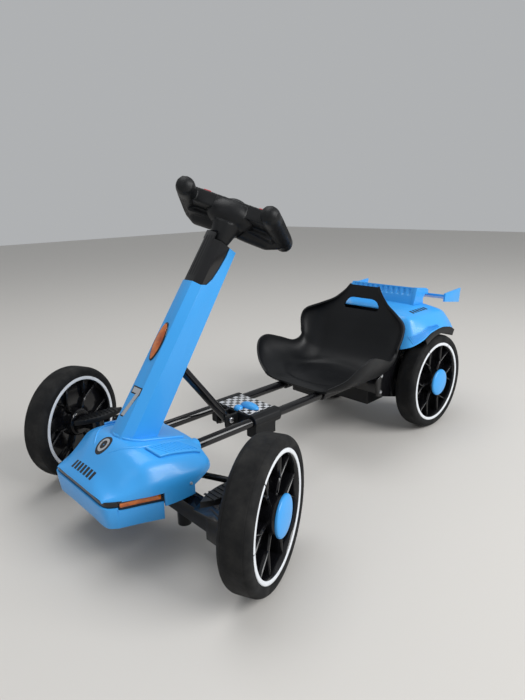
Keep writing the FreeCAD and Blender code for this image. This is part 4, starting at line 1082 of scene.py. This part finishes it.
# %% Wheel profiles
KINGPIN_Y, HUB_OFFSET, REAR_HALF_TRACK = 192.0, 54.0, 131.0
PARKED = math.radians(24.0)
TYRE_SIDE = [(88.2, 18.9), (88.6, 20.9), (91.5, 22.6), (95.5, 22.95), (99.5, 21.7), (102.6, 18.7),
             (104.2, 15.4), (104.0, 14.8), (104.6, 14.1), (104.95, 10.0), (105.0, 4.0), (105.0, 0.0)]
RIM_PROFILE = [(84, -17), (84, 17), (88, 18), (88, 20.3), (81.9, 20.3), (80, 17), (79.2, 3), (79.2, -3),
               (80, -17), (81.9, -20.3), (88, -20.3), (88, -18)]
RING_PROFILE = [(81.7, 20.2), (82.0, 20.9), (82.8, 21.4), (86.9, 21.4), (87.7, 20.9), (88.0, 20.2)]
DISC_PROFILE = [(20, -5), (79.4, -5), (79.4, -2), (20, -2)]
HUB_PROFILE = [(6.4, -18), (22, -18), (25.5, -15), (27, -8), (27, 19.5), (25.5, 24), (6.4, 24)]
CAP_PROFILE = [(0, 24.1), (28.4, 24.1), (29.2, 24.9), (29.2, 26.9), (28.6, 28.1), (27.0, 29.2), (22, 30.4),
               (14, 31.4), (7, 31.8), (0, 31.95)]
SPOKES, STEM_R, SPLIT_R, TIP_R, FORK_DEG = 6, 22.0, 47.0, 80.5, 13.5
# Each ring has two gaps, a step apart; the wheels stand at different turns, so the first gap differs.
FIRST_GAP = {"front_left": 124.0, "front_right": 236.0, "rear_left": 62.0, "rear_right": 250.0}
GAP_STEP, GAP_HALF = 56.0, 0.8


def wheel_frame(place):
    """Axis Z points out of the wheel, Y up."""
    side = 1 if place.endswith("left") else -1
    if place.startswith("front"):
        out = Vector((-math.sin(PARKED), math.cos(PARKED), 0)) * side
        centre = Vector((FRONT_AXLE_X, side * KINGPIN_Y, AXLE_Z)) + out * HUB_OFFSET
    else:
        out = Vector((0, side, 0))
        centre = Vector((REAR_AXLE_X, side * REAR_HALF_TRACK, AXLE_Z))
    up = Vector((0, 0, 1))
    across = up.cross(out)
    turn = Matrix((across, up, out)).transposed().to_4x4()
    return Matrix.Translation(centre) @ turn


def tyre_profile():
    half = [tuple(p) for p in curve_through(TYRE_SIDE, 3)]
    return [(84.1, 18.5)] + half + [(r, -a) for r, a in reversed(half[:-1])] + [(84.1, -18.5)]


def spoke_arm(start, end, width, deep, high_start, high_end):
    """A straight spoke arm with a broad foot and a narrow ridge."""
    start, end = Vector(start), Vector(end)
    side = Vector((-(end - start).y, (end - start).x)).normalized()
    ends = []
    for place, high in ((start, high_start), (end, high_end)):
        outline = []
        for offset, out in ((width, deep), (width * 0.75, high - 2.2), (width * 0.25, high),
                            (-width * 0.25, high), (-width * 0.75, high - 2.2), (-width, deep)):
            spot = place + side * offset
            outline.append((spot.x, spot.y, out))
        ends.append(outline)
    return prism("arm", *ends)


def forked_spoke():
    """A stem that splits into two arms, on the wheel's outer and inner side."""
    arms = [spoke_arm((STEM_R, 0), (SPLIT_R + 1, 0), 3.6, -3, 13.6, 14.4),
            spoke_arm((STEM_R, 0), (SPLIT_R + 1, 0), 3.6, -4, -9, -9)]
    for sign in (-1, 1):
        angle = math.radians(sign * FORK_DEG)
        tip = (TIP_R * math.cos(angle), TIP_R * math.sin(angle))
        arms.append(spoke_arm((SPLIT_R - 1, 0), tip, 2.7, -3, 14.4, 15.6))
        arms.append(spoke_arm((SPLIT_R - 1, 0), tip, 2.7, -4, -9, -12))
    piece = join("spoke", arms)
    turn_out(piece)
    return piece


# %% Wheels
for place in ("front_left", "front_right", "rear_left", "rear_right"):
    stand = wheel_frame(place)
    body = "wheel_" + place
    tyre = lathe("tyre_" + place + "_foam", tyre_profile(), stand, 120)
    smooth(tyre, 50)
    settle(tyre, body, rubber, ["tyre_" + place])
    spokes = placed(copies("spokes", forked_spoke(), ABOUT_AXIS, black_gloss, Count=SPOKES), stand)
    drum = [lathe("rim", RIM_PROFILE, stand, 96), lathe("disc", DISC_PROFILE, stand, 64),
            lathe("hub", HUB_PROFILE, stand, 48), spokes]
    rim = join("rim_" + place + "_spoked", drum)
    bevel(rim, 0.4, 2, 35)
    apply_all(rim)
    smooth(rim, 35)
    settle(rim, body, black_gloss, ["rim_" + place])
    arcs = []
    first, second = FIRST_GAP[place], FIRST_GAP[place] + GAP_STEP
    for out_sign in (1, -1):
        profile = [(r, a * out_sign) for r, a in RING_PROFILE]
        arcs.append(lathe("arc", profile, stand, 40, first + GAP_HALF, second - GAP_HALF))
        arcs.append(lathe("arc", profile, stand, 100, second + GAP_HALF, 360 + first - GAP_HALF))
    ring = join("ring_" + place + "_arcs", arcs)
    turn_out(ring)
    smooth(ring, 50)
    settle(ring, body, white_ring, ["ring_" + place])
    cap = lathe("hub_cap_" + place + "_dome", CAP_PROFILE, stand, 72)
    smooth(cap, 40)
    settle(cap, body, blue, ["hub_cap_" + place])
print("wheels: 4, each with", SPOKES, "forked spokes")

# %% [markdown]
# ## Steering column and yoke
# The column leans back, so its parts are placed in its own frame: n to the front of the column, y to the
# left, s up along it. The yoke is turned about s as parked. It is a soft moulding, so its parts are melted
# together by a voxel remesh and smoothed, because booleans and bevels would leave the joints hard. Fine ribs
# lie along each grip.

# %% Column frame
COLUMN_FOOT = Vector((342, 0, 172))
LEAN = math.radians(34.2)
COLUMN_FORWARD = Vector((math.cos(LEAN), 0, math.sin(LEAN)))
COLUMN_UP = Vector((-math.sin(LEAN), 0, math.cos(LEAN)))
YOKE_TURN = math.radians(36.0)


def column_point(n, y, s):
    return COLUMN_FOOT + COLUMN_FORWARD * n + Vector((0, y, 0)) + COLUMN_UP * s


def yoke_point(n, y, s):
    turned_n = n * math.cos(YOKE_TURN) - y * math.sin(YOKE_TURN)
    turned_y = n * math.sin(YOKE_TURN) + y * math.cos(YOKE_TURN)
    return column_point(turned_n, turned_y, s)


print("column foot at", tuple(COLUMN_FOOT), "mm")


# %% Yoke
WEB_PLAN = [(-8, 12), (-8, 78), (-46, 80), (-37, 62), (-27, 36), (-16, 12)]


def yoke_block(outline, low, high):
    """A block over an outline of (n, y) in the yoke's frame, between two heights."""
    near, far = [[yoke_point(n, y, s) for n, y in outline] for s in (low, high)]
    return prism("block", near, far)


def egg(name, centre, radii, place):
    """An egg with three radii; place turns its coordinates into millimetres in the frame."""
    bm = bmesh.new()
    bmesh.ops.create_uvsphere(bm, u_segments=40, v_segments=20, radius=1.0)
    for vertex in bm.verts:
        vertex.co = place(*[c + r * v for c, r, v in zip(centre, radii, vertex.co)]) * MM
    mesh = bpy.data.meshes.new(name)
    bm.to_mesh(mesh)
    bm.free()
    return link(name, mesh)


# The lower bar's middle line and the two ends of a grip's middle line, as n, y and s on the left side.
LOWER_BAR = [(-46.0, 82.0, 372.0), (-37.0, 65.0, 362.0), (-26.0, 36.0, 359.0), (-12.0, 4.0, 358.0)]
GRIP_FRONT, GRIP_REAR = (44, 74, 375), (-62, 88, 381)
BAR_R, GRIP_END_R, GRIP_RIBS, GRIP_RIB_LENGTH = 9.2, 14.4, 44, 84.0


def left_or_right(place, side):
    return yoke_point(place[0], side * place[1], place[2])


fills = []
for side in (-1, 1):
    fills.append(yoke_block([(n, side * y) for n, y in WEB_PLAN], 359, 366))
    fills.append(bead("bar", [left_or_right(p, side) for p in LOWER_BAR], BAR_R, closed=False))
    front, rear = left_or_right(GRIP_FRONT, side), left_or_right(GRIP_REAR, side)
    along = (rear - front).normalized()
    fills.append(bead("front_end", [front + along * 10, front - along * 10.5], GRIP_END_R, closed=False))
    fills.append(bead("rear_end", [rear - along * 10, rear + along * 10.5], GRIP_END_R, closed=False))
yoke = melt(join("yoke_moulding", [cad_copy("yoke", "yoke_parts")] + fills), 1.5, 7)
settle(yoke, "steering", black_satin, ["yoke"])
dome = egg("dome", (0, 0, 372), (28, 43, 25.5), yoke_point)
cowl = melt(join("yoke_cowl", [cad_copy("yoke_hub", "hub_parts"), dome]), 1.4, 5)
settle(cowl, "steering", black_satin, ["yoke_hub"])


def grip_rib(length):
    """A thin bar along Z at the grip's surface, its ends sunk in."""
    points, faces = [], []
    for z, rise in ((0, 15.2), (4, 16.3), (length - 4, 16.3), (length, 15.2)):
        points += [(14.6, -0.75, z), (rise, -0.3, z), (rise, 0.3, z), (14.6, 0.75, z)]
    for k in range(3):
        for j in range(4):
            m = (j + 1) % 4
            faces.append((4 * k + j, 4 * k + 4 + j, 4 * k + 4 + m, 4 * k + m))
    faces += [(0, 1, 2, 3), (15, 14, 13, 12)]
    return mesh_object("rib", points, faces)


grip_ribs = []
for side in (-1, 1):
    front, rear = left_or_right(GRIP_FRONT, side), left_or_right(GRIP_REAR, side)
    along = (rear - front).normalized()
    ribs_here = copies("ribs", grip_rib(GRIP_RIB_LENGTH), ABOUT_AXIS, black_satin, Count=GRIP_RIBS)
    grip_ribs.append(placed(ribs_here, facing(front + along * 14, along)))
ribs_piece = join("yoke_grip_ribs", grip_ribs)
settle(ribs_piece, "steering", black_satin)
buttons = []
for side in (-1, 1):
    for n, low, high in ((-6, 40, 60), (8, 43, 57)):
        outline = [(n - 6, side * low), (n + 6, side * low), (n + 6, side * high), (n - 6, side * high)]
        buttons.append(yoke_block(outline, 388, 397.5 if n < 0 else 395.5))
button_piece = join("yoke_button_caps", buttons)
bevel(button_piece, 1.6, 3)
apply_all(button_piece)
smooth(button_piece, 40)
settle(button_piece, "steering", red, ["yoke_buttons"])
print("yoke faces:", len(yoke.data.polygons))

# %% Column skin, insert, lamp and number
column = dress("column_shell", blue, 4.2, 5)
insert = dress("column_insert", black_gloss, 1.6, 3)
BACK_DOWN, AHEAD = tuple(-COLUMN_FORWARD), 70.0
LAMP_MIDDLE, LAMP_HALF_LEN, LAMP_HALF_W, LAMP_POINTS = 131.0, 31.5, 9.6, 48
# Two strokes, each as four corners of y and s.
NUMERAL = [[(-8.5, 52), (11.5, 52), (11.5, 43.5), (-8.5, 43.5)],
           [(3.2, 44), (11.5, 44), (-1.5, 5), (-9.8, 5)]]


def column_strip(y, half, low, high):
    """Four corners ahead of the column's front face."""
    return [column_point(AHEAD, y - half, low), column_point(AHEAD, y - half, high),
            column_point(AHEAD, y + half, high), column_point(AHEAD, y + half, low)]


ridge_strips = [column_strip(y, 1.5, 250, 322) for y in (-12, -6, 0, 6, 12)]
insert_ridges = patches("insert_ridges", insert, ridge_strips, BACK_DOWN, 1.1, crown=True, columns=16)
settle(insert_ridges, "chassis", black_gloss)
lamp_tree = tree_of(column)
leaf = []
for k in range(LAMP_POINTS):
    angle = 2 * math.pi * k / LAMP_POINTS
    pinch = abs(math.sin(angle)) ** 1.25
    across = LAMP_HALF_W * math.copysign(pinch, math.sin(angle))
    spot = column_point(AHEAD, across, LAMP_MIDDLE + LAMP_HALF_LEN * math.cos(angle))
    leaf.append(landed(lamp_tree, spot, BACK_DOWN, 0.5))
bezel = bead("column_lamp_bezel", leaf, 1.5)
settle(bezel, "chassis", black_gloss)


def race_number(name, widen, lift, material):
    """A plain numeral of two strokes, as film on the column's front."""
    rows = []
    for stroke in NUMERAL:
        middle_y = sum(y for y, _ in stroke) / 4
        middle_s = sum(s for _, s in stroke) / 4
        corners = []
        for y, s in stroke:
            wide_y, wide_s = math.copysign(widen, y - middle_y), math.copysign(widen, s - middle_s)
            corners.append(column_point(AHEAD, y + wide_y, s + wide_s))
        rows.append(corners)
    piece = patches(name, column, rows, BACK_DOWN, lift, columns=12)
    settle(piece, "chassis", material)


race_number("column_number_edge", 2.1, 0.25, film)
race_number("column_number", 0.0, 0.45, silver)
print("column faces:", len(column.data.polygons))

# %% [markdown]
# ## Small details
# The clamp plate carries a common chequered print, made by a Checker Texture at its real pitch. Domed bolts
# hold the side plates, smaller screws of the same form hold the nose, and grip ribs cross the foot rests.

# %% Chequered print
PRINT_SQUARE = 0.0085
plate_print, tree, main = shader("chequered_print", (0.3, 0.3, 0.3), 0.3, coat=0.4)
squares = node(tree, "ShaderNodeTexChecker", Scale=1.0 / PRINT_SQUARE)
tree.links.new(coordinates(tree), squares.inputs["Vector"])
chequers = blend_colours(tree, squares.outputs["Fac"], (0.012, 0.012, 0.014), (0.6, 0.62, 0.65))
tree.links.new(chequers, main.inputs["Base Color"])
tree.links.new(spread(tree, noise(tree, 60.0), 0.2, 0.4), main.inputs["Roughness"])
FINISH["plate_print"] = plate_print
print("print square:", PRINT_SQUARE, "m")

# %% Bolts and foot ribs
BOLT_PROFILE = [(0, -1), (4.2, -1), (4.4, 0.6), (3.4, 2.2), (1.6, 2.7), (1.5, 1.7), (0, 1.7)]
SCREW_PROFILE = [(r * 0.6, a) for r, a in BOLT_PROFILE]
PLATE_BOLTS, PLATE_FACE_Y = ((-181, 141), (-179, 106)), 99.0
SCREW_X, SCREW_Z, SCREW_SUNK = 323.0, 105.0, 0.6
FOOT_RIBS, FOOT_RIB_PITCH, FOOT_RIB_START = 9, 7.8, (285, 188, 126)
heads = []
for side in (-1, 1):
    for x, z in PLATE_BOLTS:
        heads.append(lathe("head", BOLT_PROFILE, facing((x, side * PLATE_FACE_Y, z), (0, side, 0)), 20))
    spot = landed(nose_tree, (SCREW_X, side * 140, SCREW_Z), (0, -side, 0), -SCREW_SUNK)
    heads.append(lathe("head", SCREW_PROFILE, facing(spot, (0, side, 0)), 20))
side_bolts = join("side_bolts_and_screws", heads)
smooth(side_bolts, 40)
settle(side_bolts, "chassis", zinc)


def foot_rib():
    outline = ((-12.5, -0.3), (12.5, -0.3), (11.5, 1.2), (-11.5, 1.2))
    return prism("rib", [(-1.4, y, z) for y, z in outline], [(1.4, y, z) for y, z in outline])


for side, name in ((1, "foot_rest_left"), (-1, "foot_rest_right")):
    step = (FOOT_RIB_PITCH * MM, 0.0, 0.0)
    row = copies(name + "_ribs", foot_rib(), ALONG_LINE, black_satin, Count=FOOT_RIBS, Step=step)
    x, y, z = FOOT_RIB_START
    placed(row, Matrix.Translation((x, side * y, z)))
    settle(row, "chassis", black_satin)
print("foot ribs:", FOOT_RIBS, "on each rest")

# %% [markdown]
# ## Clamp bracket and latch
# The bracket is a soft moulding: a sleeve round each tube, a bridge under the plate, a short block below
# each sleeve and two ears for the brace. Its parts are melted together as the yoke's are. The latch on the
# plate is two low eggs, half sunk.

# %% Clamp bracket and latch
SLEEVE_R, BRACKET_REAR, BRACKET_FRONT, PLATE_TOP = 14.2, 84.0, 148.0, 13.0
# Blocks as two corners each, on the left side, with heights from the tubes' middle.
BRACKET_BLOCKS = [((84, -1, 2), (148, 50, 11)), ((144, -1, -14), (148, 50, 11)),
                  ((98, 38, -29), (148, 62, -4)), ((146, 10, -12), (176, 14, 10))]


def block(low, high, side):
    """A block between two corners, or its mirror image on the right side."""
    ring = ((low[1], low[2]), (high[1], low[2]), (high[1], high[2]), (low[1], high[2]))
    near, far = [[(x, side * y, TUBE_Z + z) for y, z in ring] for x in (low[0], high[0])]
    return prism("block", near, far)


def in_frame(x, y, z):
    return Vector((x, y, TUBE_Z + z))


lumps = []
for side in (-1, 1):
    sleeve = [(BRACKET_REAR, side * TUBE_Y, TUBE_Z), (BRACKET_FRONT, side * TUBE_Y, TUBE_Z)]
    lumps.append(bead("sleeve", sleeve, SLEEVE_R, closed=False))
    lumps += [block(low, high, side) for low, high in BRACKET_BLOCKS]
bracket = melt(join("clamp_bracket_moulding", lumps), 1.2, 5)
settle(bracket, "chassis", black_satin, ["clamp_bracket"])
handle = egg("latch_handle_grip", (120, 17, PLATE_TOP), (10.5, 22, 8.5), in_frame)
knob = egg("latch_knob_button", (139, 7, PLATE_TOP), (8.5, 8.5, 6.5), in_frame)
for piece, name in ((handle, "latch_handle"), (knob, "latch_knob")):
    smooth(piece, 60)
    settle(piece, "chassis", blue, [name])
print("bracket faces:", len(bracket.data.polygons))

# %% [markdown]
# ## Pieces that keep their CAD shape
# Tubes, brackets, plates and boxes are already right in the frame. They only need rounded edges and their
# finish. A few larger mouldings get softer edges.

# %% Dress the other nodes
SOFT_EDGES = {"seat_base": 4.0, "battery_box": 2.0, "gear_motor_left": 3.0, "gear_motor_right": 3.0}
MADE = {"nose_shell", "nose_bumper", "lamp_strip", "nose_lamps", "seat_shell", "rear_shell", "rear_wing",
        "yoke", "yoke_hub", "yoke_buttons", "column_shell", "column_insert", "arch_liners",
        "clamp_bracket", "latch_handle", "latch_knob"}
WHEEL_PARTS, EDGE_WIDTH = ("tyre", "rim", "ring", "hub"), 0.8
dressed = 0
for name in sorted(frame["nodes"]):
    if name in MADE or name.split("_")[0] in WHEEL_PARTS:
        continue
    dress(name, FINISH[slot_of_node(name)], SOFT_EDGES.get(name, EDGE_WIDTH), 3 if name in SOFT_EDGES else 2)
    dressed += 1
print("dressed nodes:", dressed)

# %% [markdown]
# ## Floor, light and camera
# The floor is plain and pale. A large soft lamp stands on the kart's left, a weak one in front and one above,
# and the world fills in, so colours come out about as they are written.

# %% Floor and light
floor_material = shader("studio_floor", (0.62, 0.60, 0.57), 0.7)[0]
bpy.ops.mesh.primitive_plane_add(size=14, location=(0, 0, 0))
floor = bpy.context.object
floor.name = "studio_floor"
floor.data.materials.append(floor_material)

world = bpy.data.worlds.new("studio")
bpy.context.scene.world = world
world.use_nodes = True
world.node_tree.nodes["Background"].inputs["Color"].default_value = (0.86, 0.88, 0.9, 1)
world.node_tree.nodes["Background"].inputs["Strength"].default_value = 0.5


def soft_lamp(name, place, target, size, power):
    light = bpy.data.lights.new(name, "AREA")
    light.shape = "RECTANGLE"
    light.size, light.size_y = size
    light.energy = power
    lamp = bpy.data.objects.new(name, light)
    bpy.context.scene.collection.objects.link(lamp)
    lamp.location = place
    lamp.rotation_euler = (Vector(target) - Vector(place)).to_track_quat("-Z", "Y").to_euler()


soft_lamp("key_lamp", (-0.7, 2.5, 1.9), (0, 0, 0.2), (2.0, 1.6), 78)
soft_lamp("front_lamp", (2.4, 0.3, 1.7), (0.1, 0, 0.2), (1.4, 1.2), 3)
soft_lamp("top_lamp", (0.2, -0.6, 2.8), (0, 0, 0.2), (2.0, 1.4), 22)
print("lamps: key, front, top")

# %% [markdown]
# The photograph was taken from ahead of the kart's left front wheel, at about half a metre above the floor.
# The camera's place and turn come from fitting the four wheels.

# %% Camera
CAMERA_PLACE = (710.7, 682.5, 501.4)
CAMERA_YAW, CAMERA_PITCH, CAMERA_ROLL = -2.326, 0.279, -0.025
FOCAL_PX, FRAME_H, SENSOR_MM = 520.16, 700, 36.0
camera_data = bpy.data.cameras.new("photo_camera")
camera_data.sensor_width = SENSOR_MM
camera_data.lens = FOCAL_PX / FRAME_H * SENSOR_MM
camera = bpy.data.objects.new("photo_camera", camera_data)
bpy.context.scene.collection.objects.link(camera)
level = math.cos(CAMERA_PITCH)
ahead = Vector((level * math.cos(CAMERA_YAW), level * math.sin(CAMERA_YAW), -math.sin(CAMERA_PITCH)))
right = ahead.cross(Vector((0, 0, 1))).normalized()
up = right.cross(ahead)
turned_right = right * math.cos(CAMERA_ROLL) + up * math.sin(CAMERA_ROLL)
turned_up = up * math.cos(CAMERA_ROLL) - right * math.sin(CAMERA_ROLL)
axes = Matrix((turned_right, turned_up, -ahead)).transposed()
camera.matrix_world = Matrix.Translation(Vector(CAMERA_PLACE) * MM) @ axes.to_4x4()
bpy.context.scene.camera = camera
bpy.context.scene.view_settings.view_transform = "Standard"
print("camera at", CAMERA_PLACE, "mm")
